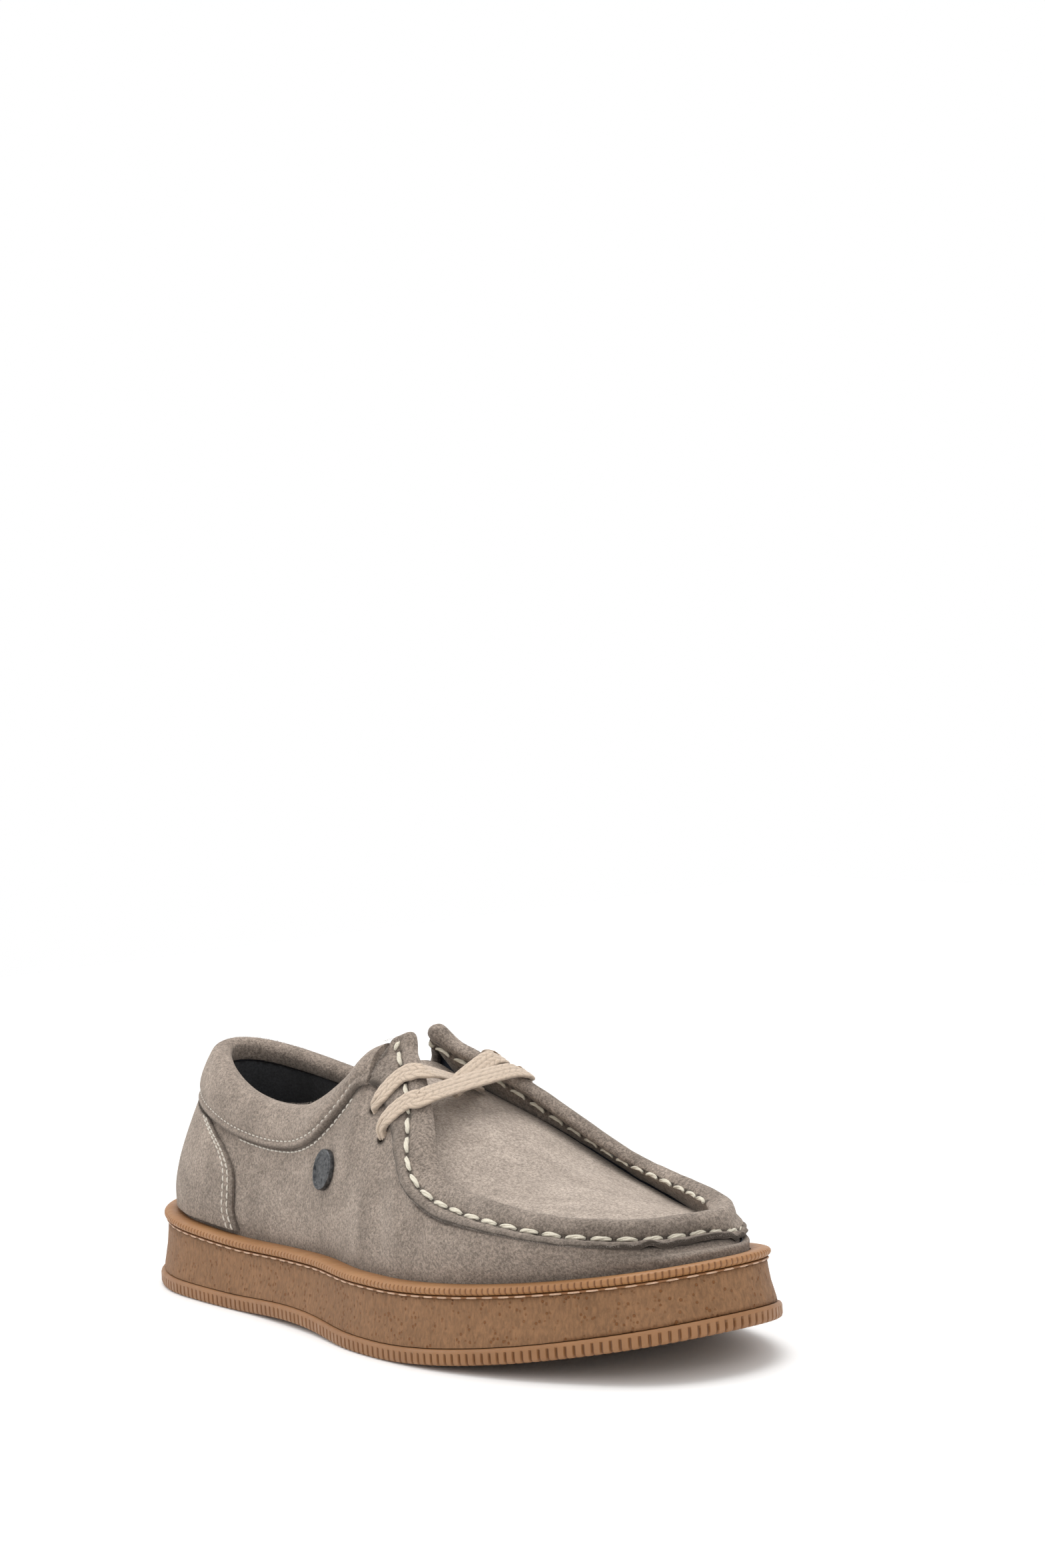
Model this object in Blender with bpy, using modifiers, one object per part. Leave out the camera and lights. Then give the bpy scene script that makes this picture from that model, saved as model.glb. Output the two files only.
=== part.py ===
"""A right casual shoe: suede moccasin on a gum cup sole.

The toe points along +X and the outer side of the foot faces -Y. The shoe stands on z = 0.
Every skin of the upper is read from one grid of columns that climb from the sole to the top line,
so that the collar, the seam, the counter and the badge all lie on the same surface.
"""
import math

import bmesh
import bpy
import numpy as np
from mathutils import Matrix, Vector

# Sizes of the whole shoe
LENGTH = 0.300
BALL_WIDTH = 0.106
TAB_HEIGHT = 0.0945
CLEAR = 0.0003
LAP_GAP = 0.0006

# Sizes of the sole
TOE_SPRING = 0.0137
SPRING_START = 0.038
SPRING_CURVE = 1.7
ARCH = 0.0013
ARCH_MIDDLE = -0.024
ARCH_REACH = 0.044
BAND = 0.0050
RIB_COUNT = 232
RIB_DEPTH = 0.0008
RIM = 0.0073
FIELD_DEPTH = 0.0011
BAR_COUNT = 13
BAR_PITCH = LENGTH / 14.21
BAR_WIDTH = 0.0051
BAR_INSET = 0.0155
CUP_HEIGHT = 0.0242
WELT = 0.0031
FOOT_INSET = 0.0089
BED_GAP = 0.0004

# Sizes of the suede pieces
WALL = 0.0022
COUNTER = 0.0012
SEAM = 0.0014
APRON = 0.0020
COLLAR_PAD = 0.0033
INSOLE = 0.0032
FOOTBED_DROP = 0.0085

# Half widths of the sole, as shares of BALL_WIDTH, round the plan from the heel (0) to the toe (180)
OUTLINE = [
    # angle, outer side, inner side
    (0, 0.674, 0.773),
    (20, 0.665, 0.746),
    (40, 0.588, 0.620),
    (55, 0.508, 0.445),
    (70, 0.458, 0.341),
    (85, 0.470, 0.343),
    (100, 0.548, 0.415),
    (115, 0.600, 0.498),
    (130, 0.623, 0.536),
    (145, 0.647, 0.589),
    (160, 0.728, 0.647),
    (180, 0.809, 0.719),
]

# Height of the cup's side wall over the ground line, along the shoe
WALL_HEIGHT = [
    # share of LENGTH from the middle, share of CUP_HEIGHT
    (-0.50, 1.0000),
    (-0.25, 0.8554),
    (-0.10, 0.8140),
    (0.00, 0.8512),
    (0.12, 0.8802),
    (0.25, 0.8678),
    (0.50, 0.7769),
]

# Sections of the cup's wall and of the bead over it
WALL_SECTION = [
    # inset as a share of FOOT_INSET, share of the wall's height
    (0.1573, 0.00),
    (0.1798, 0.10),
    (0.3371, 0.50),
    (0.4045, 0.80),
    (0.4382, 1.00),
]
WELT_SECTION = [
    # inset as a share of FOOT_INSET, share of WELT
    (1.0000, 0.00),
    (0.4719, 0.00),
    (0.3034, 0.36),
    (0.3483, 0.78),
    (0.5618, 1.02),
    (1.0000, 0.94),
]

# The top line of the outer side: x as a share of LENGTH, y of BALL_WIDTH, z of TAB_HEIGHT.
# The collar runs from the back of the heel (0) to the tab, and the throat from the tab to the toe (180).
COLLAR_OUTER = [
    # angle, x, y, z
    (0, -0.408, 0.000, 0.866),
    (12, -0.399, -0.080, 0.860),
    (25, -0.367, -0.140, 0.833),
    (38, -0.323, -0.190, 0.793),
    (50, -0.266, -0.226, 0.742),
    (62, -0.195, -0.248, 0.711),
    (72, -0.130, -0.248, 0.718),
    (80, -0.083, -0.238, 0.772),
    (87, -0.038, -0.210, 0.866),
    (92, -0.006, -0.176, 0.962),
    (96, 0.024, -0.134, 0.980),
]
THROAT_OUTER = [
    # angle, x, y, z
    (96, 0.024, -0.134, 0.980),
    (100, 0.055, -0.166, 0.915),
    (104, 0.088, -0.212, 0.844),
    (108, 0.113, -0.256, 0.767),
    (112, 0.136, -0.306, 0.679),
    (116, 0.157, -0.335, 0.610),
    (121, 0.190, -0.351, 0.557),
    (127, 0.232, -0.356, 0.533),
    (134, 0.280, -0.351, 0.514),
    (142, 0.330, -0.327, 0.494),
    (150, 0.372, -0.278, 0.484),
    (160, 0.407, -0.191, 0.476),
    (170, 0.423, -0.094, 0.472),
    (180, 0.428, 0.010, 0.470),
]
COLLAR_INNER = [
    # angle, x, y, z
    (0, -0.408, 0.000, 0.866),
    (12, -0.399, 0.080, 0.852),
    (25, -0.366, 0.140, 0.822),
    (38, -0.324, 0.188, 0.784),
    (50, -0.268, 0.222, 0.742),
    (62, -0.204, 0.242, 0.718),
    (72, -0.150, 0.238, 0.732),
    (80, -0.110, 0.215, 0.790),
    (87, -0.080, 0.172, 0.872),
    (92, -0.058, 0.116, 0.950),
    (96, -0.034, 0.068, 0.966),
]
THROAT_INNER = [
    # angle, x, y, z
    (96, -0.034, 0.068, 0.966),
    (100, 0.012, 0.102, 0.903),
    (104, 0.056, 0.148, 0.834),
    (108, 0.094, 0.196, 0.757),
    (112, 0.133, 0.234, 0.681),
    (116, 0.167, 0.261, 0.618),
    (121, 0.205, 0.281, 0.561),
    (127, 0.243, 0.287, 0.528),
    (134, 0.285, 0.278, 0.505),
    (142, 0.330, 0.259, 0.488),
    (150, 0.370, 0.223, 0.480),
    (160, 0.405, 0.157, 0.472),
    (170, 0.422, 0.085, 0.470),
    (180, 0.428, 0.010, 0.470),
]

# How each column of the upper bends on its way up, as shares of TAB_HEIGHT
BEND = [
    # angle, rise at foot, belly at foot, reach at top, drop at top, lip out, lip down, cover
    (0, 0.2328, 0.0127, 0.0635, 0.1693, 0.0000, 0.0000, 0.2116),
    (35, 0.1905, 0.0169, 0.0529, 0.1481, 0.0000, 0.0000, 0.1746),
    (62, 0.1587, 0.0190, 0.0370, 0.1270, 0.0000, 0.0000, 0.1429),
    (80, 0.2116, 0.0159, 0.0847, 0.1481, 0.0000, 0.0000, 0.1534),
    (90, 0.2328, 0.0106, 0.1376, 0.1270, 0.0000, 0.0000, 0.1587),
    (96, 0.2328, 0.0106, 0.1270, 0.1058, 0.0423, 0.0339, 0.2011),
    (104, 0.2116, 0.0159, 0.0952, 0.0847, 0.0529, 0.0381, 0.2222),
    (112, 0.1693, 0.0212, 0.0794, 0.0423, 0.0614, 0.0423, 0.2011),
    (121, 0.1270, 0.0265, 0.0741, 0.0212, 0.0614, 0.0402, 0.1693),
    (134, 0.1058, 0.0265, 0.0635, 0.0106, 0.0508, 0.0402, 0.1270),
    (150, 0.0847, 0.0212, 0.0423, 0.0106, 0.0381, 0.0466, 0.1164),
    (165, 0.0635, 0.0127, 0.0317, 0.0106, 0.0296, 0.0529, 0.1058),
    (180, 0.0529, 0.0106, 0.0265, 0.0106, 0.0275, 0.0550, 0.1005),
]

COLUMNS = [0, 9, 18, 27, 35, 43, 50, 56, 62, 67, 72, 76, 80, 84, 88, 92, 96, 98, 100, 102, 104, 106,
           108, 110, 112, 114, 116, 119, 122, 126, 130, 135, 140, 146, 152, 158, 164, 170, 175, 180]
TAB_COLUMN = COLUMNS.index(92)
THROAT_COLUMN = COLUMNS.index(96)
LEVELS = 8

# Where the apron's edge meets the wall inside the ridge, and how high the apron arches between
APRON_FORM = [
    # angle, level of the edge, crown as a share of TAB_HEIGHT
    (96, 6.20, 0.0159),
    (104, 6.35, 0.0423),
    (110, 6.55, 0.0688),
    (116, 6.85, 0.0825),
    (124, 7.15, 0.0741),
    (140, 7.20, 0.0529),
    (160, 7.20, 0.0265),
    (180, 7.20, 0.0053),
]
TONGUE_END = [
    # step back, step up and crown as shares of TAB_HEIGHT, share of the width kept
    (-0.150, 0.085, 0.0127, 0.50),
    (-0.125, 0.070, 0.0127, 0.68),
    (-0.065, 0.034, 0.0127, 0.84),
]

# Front edge of the heel counter: angle and level on the upper's grid, from the sole up
COUNTER_EDGE = [
    # level, angle
    (1.12, 61.5),
    (2.00, 60.0),
    (3.00, 59.0),
    (4.00, 57.0),
    (4.70, 53.5),
    (5.30, 48.0),
    (5.85, 39.0),
]

# Eyelets and badge on the upper's grid
EYELETS = [
    # side, angle, level
    (-1, 96.0, 5.35),
    (-1, 99.8, 5.10),
    (1, 96.0, 5.35),
    (1, 99.8, 5.10),
]
EYELET_RADIUS = 0.0017
BADGE_PLACE = (-1, 85.4, 4.0)
BADGE_SIZE = (0.0116, 0.0128, 0.0013)
BADGE_LIFT = 0.0007

# The flat lace: width, thickness, and its stations
LACE_WIDTH = 0.0066
LACE_THICK = 0.0017
LACE_OVER = 0.0047
LACE_BAR = [
    # side, angle, level, lift in LACE_THICK, past the top edge in LACE_OVER
    (-1, 99.9, 5.20, 0.82, 0.00),
    (-1, 100.0, 5.70, 2.18, 0.00),
    (-1, 101.0, 6.60, 2.65, 0.00),
    (-1, 103.0, 7.40, 3.00, 0.00),
    (-1, 104.5, 8.00, 2.53, 0.66),
    (-1, 105.0, 8.00, -0.59, 1.00),
    (1, 105.5, 8.00, -0.59, 1.00),
    (1, 105.0, 8.00, 2.53, 0.66),
    (1, 103.5, 7.40, 3.00, 0.00),
    (1, 101.0, 6.60, 2.65, 0.00),
    (1, 100.0, 5.70, 2.06, 0.00),
    (1, 99.9, 5.20, 0.82, 0.00),
]
LACE_OUTER_TOP = [
    # side, angle, level, lift in LACE_THICK, past the top edge in LACE_OVER
    (-1, 96.1, 5.45, 0.82, 0.00),
    (-1, 96.4, 5.90, 2.18, 0.00),
    (-1, 97.2, 6.70, 2.71, 0.00),
    (-1, 98.6, 7.45, 3.00, 0.00),
    (-1, 99.6, 8.00, 2.53, 0.66),
    (-1, 100.0, 8.00, -0.59, 1.00),
]
LACE_INNER_TOP = [
    # side, angle, level, lift in LACE_THICK, past the top edge in LACE_OVER
    (1, 96.1, 5.45, 1.00, 0.00),
    (1, 96.4, 5.90, 2.53, 0.00),
    (1, 97.4, 6.70, 2.71, 0.00),
    (1, 99.0, 7.45, 3.00, 0.00),
    (1, 100.4, 8.00, 2.53, 0.66),
    (1, 100.8, 8.00, -0.59, 1.00),
]
LACE_TUCKS = {
    # the free ends over the throat: x of LENGTH, y of BALL_WIDTH, z of TAB_HEIGHT
    "outer": [(0.060, -0.090, 0.888), (0.050, 0.010, 0.852), (0.042, 0.068, 0.822)],
    "inner": [(0.052, 0.030, 0.868), (0.068, -0.070, 0.844), (0.090, -0.150, 0.828)],
}

# Names, colours and finishes
LOOKS = {
    # name: colour, roughness, metallic
    "outsole": ((0.47, 0.22, 0.08), 0.55, 0.0),
    "midsole": ((0.36, 0.19, 0.08), 0.65, 0.0),
    "welt": ((0.50, 0.24, 0.09), 0.50, 0.0),
    "insole": ((0.03, 0.035, 0.05), 0.80, 0.0),
    "upper": ((0.36, 0.30, 0.25), 0.95, 0.0),
    "apron": ((0.40, 0.34, 0.29), 0.95, 0.0),
    "seam_binding": ((0.31, 0.26, 0.22), 0.95, 0.0),
    "collar": ((0.36, 0.30, 0.25), 0.95, 0.0),
    "heel_counter": ((0.35, 0.29, 0.24), 0.95, 0.0),
    "badge": ((0.12, 0.12, 0.13), 0.40, 0.9),
    "lace": ((0.62, 0.52, 0.38), 0.90, 0.0),
}


def read(table, at, column=1):
    """A smooth curve through one column of a table."""
    keys = [row[0] for row in table]
    vals = [row[column] for row in table]
    at = min(max(at, keys[0]), keys[-1])
    k = max(i for i in range(len(keys) - 1) if keys[i] <= at)
    span = keys[k + 1] - keys[k]
    t = (at - keys[k]) / span

    def slope(i):
        a = max(i - 1, 0)
        b = min(i + 1, len(keys) - 1)
        return (vals[b] - vals[a]) / (keys[b] - keys[a])

    h00 = 2 * t ** 3 - 3 * t ** 2 + 1
    h10 = t ** 3 - 2 * t ** 2 + t
    h01 = 3 * t ** 2 - 2 * t ** 3
    h11 = t ** 3 - t ** 2
    return h00 * vals[k] + h10 * span * slope(k) + h01 * vals[k + 1] + h11 * span * slope(k + 1)


def outline(angle):
    """Plan of the sole: 0 is the heel, 180 the toe, 0..180 the outer side and 180..360 the inner side."""
    angle = angle % 360
    side = -1 if angle <= 180 else 1
    half = angle if angle <= 180 else 360 - angle
    width = read(OUTLINE, half, 1 if side < 0 else 2) * BALL_WIDTH
    turn = math.radians(half)
    return np.array([-LENGTH / 2 * math.cos(turn), side * width * math.sin(turn)])


SIDES = np.array([outline(a)[1] for a in range(360)])
SHIFT_Y = -(SIDES.max() + SIDES.min()) / 2


def outward(angle):
    """Level direction square to the outline."""
    ahead = outline(angle + 1.0) - outline(angle - 1.0)
    normal = np.array([-ahead[1], ahead[0]])
    normal = -normal / np.linalg.norm(normal)
    return normal if np.dot(normal, outline(angle)) > 0 else -normal


def inset(angle, depth):
    return outline(angle) - outward(angle) * depth


def ground(x):
    """The toe lifts off the floor ahead of the ball, and the waist a little behind it."""
    ahead = max(0.0, x - SPRING_START) / (LENGTH / 2 - SPRING_START)
    waist = min(1.0, abs(x - ARCH_MIDDLE) / ARCH_REACH)
    return TOE_SPRING * ahead ** SPRING_CURVE + ARCH * (1 - waist ** 2) ** 2


def wall_top(x):
    return read(WALL_HEIGHT, x / LENGTH) * CUP_HEIGHT


def ring_point(angle, depth, height):
    """A point of the sole; height is a number or a function of x."""
    x, y = inset(angle, depth)
    up = height(x) if callable(height) else height
    return (x, y, ground(x) + up)


def even_angles(count, depth=0.0):
    """Angles that space a loop evenly along its length."""
    fine = np.linspace(0, 360, 1441)
    pts = np.array([inset(a, depth) for a in fine])
    run = np.concatenate([[0], np.cumsum(np.linalg.norm(np.diff(pts, axis=0), axis=1))])
    return np.interp(np.linspace(0, run[-1], count, endpoint=False), run, fine)


parts = bpy.data.collections.new("casual_shoe")
cutters = bpy.data.collections.new("cutters")


def clear_scene():
    for ob in list(bpy.data.objects):
        bpy.data.objects.remove(ob, do_unlink=True)
    for group in (parts, cutters):
        bpy.context.scene.collection.children.link(group)


def material(name):
    colour, rough, metal = LOOKS[name]
    mat = bpy.data.materials.new(name)
    mat.use_nodes = True
    bsdf = mat.node_tree.nodes["Principled BSDF"]
    bsdf.inputs["Base Color"].default_value = (*colour, 1)
    bsdf.inputs["Roughness"].default_value = rough
    bsdf.inputs["Metallic"].default_value = metal
    return mat


def add_object(name, bm, closed=True, group=parts, smooth=40):
    """Put a mesh in the scene, with its faces turned outward when it is closed."""
    if closed:
        bmesh.ops.recalc_face_normals(bm, faces=bm.faces)
    mesh = bpy.data.meshes.new(name)
    bm.to_mesh(mesh)
    bm.free()
    mesh.transform(Matrix.Translation((0, SHIFT_Y, 0)))
    mesh.shade_smooth()
    mesh.set_sharp_from_angle(angle=math.radians(smooth))
    ob = bpy.data.objects.new(name, mesh)
    group.objects.link(ob)
    if name in LOOKS:
        mesh.materials.append(material(name))
    return ob


def add_ring(bm, points):
    return [bm.verts.new(p) for p in points]


def bridge(bm, first, second):
    """Quads between two closed loops of the same count."""
    count = len(first)
    for k in range(count):
        n = (k + 1) % count
        bm.faces.new((first[k], first[n], second[n], second[k]))


def weave(bm, first, second):
    """Triangles between two closed sections; each diagonal starts at the upper point of the first one's
    edge, so that a strip laid on the upper folds where the upper does."""
    count = len(first)
    for k in range(count):
        n = (k + 1) % count
        if first[k].co.z > first[n].co.z:
            bm.faces.new((first[k], first[n], second[n]))
            bm.faces.new((first[k], second[n], second[k]))
        else:
            bm.faces.new((first[k], first[n], second[k]))
            bm.faces.new((first[n], second[n], second[k]))


def drape(bm, low, high, closed=True):
    """Triangles between two level lines of a skin; each diagonal runs from the upper line ahead and down."""
    count = len(low)
    for k in range(count if closed else count - 1):
        n = (k + 1) % count
        bm.faces.new((low[k], low[n], high[k]))
        bm.faces.new((low[n], high[n], high[k]))


def knit(bm, many, few):
    """Triangles between a fine closed loop and a coarse one that start at the same place."""
    a = 0
    b = 0
    while a < len(many) or b < len(few):
        if b >= len(few) or (a < len(many) and (a + 0.5) / len(many) <= (b + 0.5) / len(few)):
            bm.faces.new((many[a % len(many)], many[(a + 1) % len(many)], few[b % len(few)]))
            a += 1
        else:
            bm.faces.new((many[a % len(many)], few[(b + 1) % len(few)], few[b % len(few)]))
            b += 1


def close_across(bm, ring):
    """Close a loop that starts at the heel with strips from its outer side to its inner side."""
    count = len(ring)
    half = count // 2
    bm.faces.new((ring[0], ring[1], ring[-1]))
    for k in range(1, half - 1):
        bm.faces.new((ring[k], ring[k + 1], ring[count - k - 1], ring[count - k]))
    bm.faces.new((ring[half - 1], ring[half], ring[half + 1]))


def side_y(x, depth, side):
    """Where a line across the shoe at x meets the outline's inset loop on one side."""
    angles = np.linspace(4, 176, 345)
    if side > 0:
        angles = 360 - angles
    pts = np.array([inset(a, depth) for a in angles])
    return float(np.interp(x, pts[:, 0], pts[:, 1]))


def make_outsole():
    """The tread: ribbed edge, flat rim and a sunk field crossed by straight bars."""
    bm = bmesh.new()
    fine = even_angles(RIB_COUNT * 2)
    ribbed = [RIB_DEPTH * (k % 2) for k in range(len(fine))]
    low = add_ring(bm, [ring_point(a, d, 0.0) for a, d in zip(fine, ribbed)])
    high = add_ring(bm, [ring_point(a, d, BAND * 0.86) for a, d in zip(fine, ribbed)])
    bridge(bm, low, high)
    top = add_ring(bm, [ring_point(a, 1.25 * RIB_DEPTH, BAND) for a in even_angles(80)])
    knit(bm, high, top)
    close_across(bm, top)

    rows = []
    for k in range(BAR_COUNT):
        middle = -LENGTH / 2 + LENGTH - (k + 1.08) * BAR_PITCH
        rows += [middle + BAR_WIDTH / 2, middle - BAR_WIDTH / 2]
    rows = rows[::-1]

    def corner(x, side, depth, height):
        return bm.verts.new((x, side_y(x, depth, side), ground(x) + height))

    rim = {side: [corner(x, side, RIM, 0.0) for x in rows] for side in (-1, 1)}
    sunk = {side: [corner(x, side, RIM, FIELD_DEPTH) for x in rows] for side in (-1, 1)}
    base = {side: [corner(x, side, BAR_INSET, FIELD_DEPTH) for x in rows] for side in (-1, 1)}
    tops = {side: [corner(x, side, BAR_INSET, 0.0) for x in rows] for side in (-1, 1)}

    def arc(start, end, count, height):
        """Points of the rim's inner loop round one end of the shoe."""
        spots = np.linspace(start, end, count + 2)[1:-1]
        return [bm.verts.new(ring_point(a, RIM, height)) for a in spots]

    def angle_at(x, side):
        angles = np.linspace(2, 178, 353)
        xs = [inset(a if side < 0 else 360 - a, RIM)[0] for a in angles]
        found = float(np.interp(x, xs, angles))
        return found if side < 0 else 360 - found

    toe = [arc(angle_at(rows[-1], -1), angle_at(rows[-1], 1), 7, h) for h in (0.0, FIELD_DEPTH)]
    heel = [arc(angle_at(rows[0], 1) - 360, angle_at(rows[0], -1), 7, h) for h in (0.0, FIELD_DEPTH)]
    loop = heel[0][3:] + rim[-1] + toe[0] + rim[1][::-1] + heel[0][:3]
    lower = heel[1][3:] + sunk[-1] + toe[1] + sunk[1][::-1] + heel[1][:3]
    knit(bm, low, loop)
    bridge(bm, loop, lower)
    bm.faces.new([sunk[-1][0], base[-1][0], base[1][0], sunk[1][0]] + heel[1])
    bm.faces.new([sunk[1][-1], base[1][-1], base[-1][-1], sunk[-1][-1]] + toe[1])
    for k in range(len(rows) - 1):
        n = k + 1
        for side in (-1, 1):
            bm.faces.new((sunk[side][k], sunk[side][n], base[side][n], base[side][k]))
        if k % 2:
            bm.faces.new((base[-1][k], base[-1][n], base[1][n], base[1][k]))
            continue
        bm.faces.new((tops[-1][k], tops[-1][n], tops[1][n], tops[1][k]))
        for side in (-1, 1):
            bm.faces.new((base[side][k], base[side][n], tops[side][n], tops[side][k]))
        bm.faces.new((base[-1][k], base[1][k], tops[1][k], tops[-1][k]))
        bm.faces.new((base[-1][n], base[1][n], tops[1][n], tops[-1][n]))
    return add_object("outsole", bm, smooth=30)


def make_midsole():
    """The cup: a wall hollow in profile and drawn in towards its top, with a sunk bed for the insole."""
    bm = bmesh.new()
    angles = even_angles(88)
    rings = []
    for depth, part in WALL_SECTION:
        def height(x, part=part):
            bottom = BAND + CLEAR
            return bottom + (wall_top(x) - CLEAR / 2 - bottom) * part
        rings.append(add_ring(bm, [ring_point(a, depth * FOOT_INSET, height) for a in angles]))
    for drop in (0.0, FOOTBED_DROP):
        def bed(x, drop=drop):
            return wall_top(x) - CLEAR / 2 - drop
        rings.append(add_ring(bm, [ring_point(a, FOOT_INSET + WALL + BED_GAP, bed) for a in angles]))
    for first, second in zip(rings, rings[1:]):
        bridge(bm, first, second)
    close_across(bm, rings[0])
    close_across(bm, rings[-1])
    return add_object("midsole", bm)


def make_welt():
    """The rounded bead that holds the foot of the suede."""
    bm = bmesh.new()
    angles = even_angles(88)
    rings = []
    for share, part in WELT_SECTION:
        depth = min(share * FOOT_INSET, FOOT_INSET - CLEAR)
        def height(x, part=part):
            return wall_top(x) + CLEAR / 2 + WELT * part
        rings.append(add_ring(bm, [ring_point(a, depth, height) for a in angles]))
    for first, second in zip(rings, rings[1:] + rings[:1]):
        bridge(bm, first, second)
    return add_object("welt", bm)


def make_insole():
    """The footbed, a flat sheet sunk into the cup."""
    bm = bmesh.new()
    depth = FOOT_INSET + WALL + 2 * BED_GAP
    angles = even_angles(88)

    def bed(x):
        return wall_top(x) - FOOTBED_DROP + CLEAR

    low = add_ring(bm, [ring_point(a, depth, bed) for a in angles])
    high = add_ring(bm, [ring_point(a, depth, lambda x: bed(x) + INSOLE) for a in angles])
    bridge(bm, low, high)
    close_across(bm, low)
    close_across(bm, high)
    return add_object("insole", bm)


def top_point(angle, side):
    if angle <= 96:
        table = COLLAR_OUTER if side < 0 else COLLAR_INNER
    else:
        table = THROAT_OUTER if side < 0 else THROAT_INNER
    shares = [read(table, angle, k) for k in (1, 2, 3)]
    return np.array(shares) * (LENGTH, BALL_WIDTH, TAB_HEIGHT)


def column_points(angle, side):
    """One line of the upper's outer face, from the sole up to the top line."""
    around = angle if side < 0 else 360 - angle
    up = np.array([0, 0, 1.0])
    out = np.array([*outward(around), 0])
    x, y = inset(around, FOOT_INSET)
    foot = np.array([x, y, ground(x) + wall_top(x) + CLEAR])
    start = foot + up * (WELT + LAP_GAP)
    rise, belly, reach, drop, lip_out, lip_down, cover = [
        read(BEND, angle, k) * TAB_HEIGHT for k in range(1, 8)]
    top = top_point(angle, side)
    end = top + out * lip_out - up * lip_down
    pulls = [start, start + up * rise + out * belly, end + out * reach - up * drop, end]
    line = []
    for t in np.linspace(0, 1, 61):
        weights = ((1 - t) ** 3, 3 * t * (1 - t) ** 2, 3 * t * t * (1 - t), t ** 3)
        line.append(sum(w * p for w, p in zip(weights, pulls)))
    lip = float(np.linalg.norm(top - end))
    if lip > CLEAR / 100:
        line.append(top)
    line = np.array(line)
    run = np.concatenate([[0], np.cumsum(np.linalg.norm(np.diff(line, axis=0), axis=1))])
    edge = run[-1] - cover
    fold = run[-1] - (lip if lip > 0.03 * TAB_HEIGHT else 0.45 * cover)
    marks = list(np.linspace(0, edge, LEVELS - 2)) + [fold, run[-1]]
    spots = [np.array([np.interp(m, run, line[:, k]) for k in range(3)]) for m in marks]
    return [foot] + spots


def build_skin():
    """Grid of the upper's outer face, its normals, and the direction off its top edge."""
    outer = [column_points(a, -1) for a in COLUMNS]
    inner = [column_points(a, 1) for a in COLUMNS[1:-1]]
    grid = np.array(outer + inner[::-1])
    along = np.roll(grid, -1, axis=0) - np.roll(grid, 1, axis=0)
    rising = np.gradient(grid, axis=1)
    rising[:, 0] = grid[:, 1] - grid[:, 0]
    normal = np.cross(along, rising)
    normal /= np.linalg.norm(normal, axis=2, keepdims=True)
    edge = along[:, -1] / np.linalg.norm(along[:, -1], axis=1, keepdims=True)
    off = np.cross(normal[:, -1], edge)
    off /= np.linalg.norm(off, axis=1, keepdims=True)
    return grid, normal, off


SKIN, NORMALS, OFF_EDGE = build_skin()
AROUND = len(SKIN)


def skin(column, level, lift=0.0, past=0.0):
    """A point over the upper: column round the shoe, level up it, lifted along the normal."""
    i = math.floor(column)
    j = min(math.floor(level), LEVELS - 1)
    u = column - i
    v = level - j
    if u + v <= 1:
        weights = ((0, 0, 1 - u - v), (1, 0, u), (0, 1, v))
    else:
        weights = ((1, 1, u + v - 1), (1, 0, 1 - v), (0, 1, 1 - u))
    point = np.zeros(3)
    normal = np.zeros(3)
    for di, dj, w in weights:
        point += w * SKIN[(i + di) % AROUND, j + dj]
        normal += w * NORMALS[(i + di) % AROUND, j + dj]
    normal /= np.linalg.norm(normal)
    away = (1 - u) * OFF_EDGE[i % AROUND] + u * OFF_EDGE[(i + 1) % AROUND]
    return point + normal * lift + away * past


def column_of(angle, side):
    """Grid column, with a fraction, at an angle on one side."""
    place = float(np.interp(angle, COLUMNS, range(len(COLUMNS))))
    return place if side < 0 else AROUND - place


def make_upper():
    """Quarters and vamp side wall: a lofted sleeve, its inner face one wall inside its outer face."""
    bm = bmesh.new()
    inner = SKIN - NORMALS * WALL
    outside = [add_ring(bm, SKIN[:, j]) for j in range(LEVELS + 1)]
    inside = [add_ring(bm, inner[:, j]) for j in range(LEVELS + 1)]
    for loops in (outside, inside):
        for low, high in zip(loops, loops[1:]):
            drape(bm, low, high)
    bridge(bm, outside[0], inside[0])
    bridge(bm, outside[-1], inside[-1])
    return add_object("upper", bm)


def cap_fold(bm, ring, skins):
    """Close the end of a folded strip between its outer chain of points and its chain round the wall."""
    outer = ring[1:skins]
    inner = [ring[0]] + ring[:skins - 1:-1]
    a = 0
    b = 0
    while a < len(outer) - 1 or b < len(inner) - 1:
        step_a = (outer[a + 1].co - inner[b].co).length if a < len(outer) - 1 else 9.0
        step_b = (outer[a].co - inner[b + 1].co).length if b < len(inner) - 1 else 9.0
        if step_a <= step_b:
            bm.faces.new((inner[b], outer[a], outer[a + 1]))
            a += 1
        else:
            bm.faces.new((inner[b], outer[a], inner[b + 1]))
            b += 1


def loft_sections(name, sections, skins=0):
    """A closed solid through closed sections of one count, with its two ends filled.

    A folded section names its outer points 1 to skins - 1; the others lie against the wall."""
    bm = bmesh.new()
    rings = [add_ring(bm, pts) for pts in sections]
    for first, second in zip(rings, rings[1:]):
        weave(bm, first, second)
    for end in (rings[0], rings[-1]):
        if skins:
            cap_fold(bm, end, skins)
        else:
            bm.faces.new(end)
    return add_object(name, bm)


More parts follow.
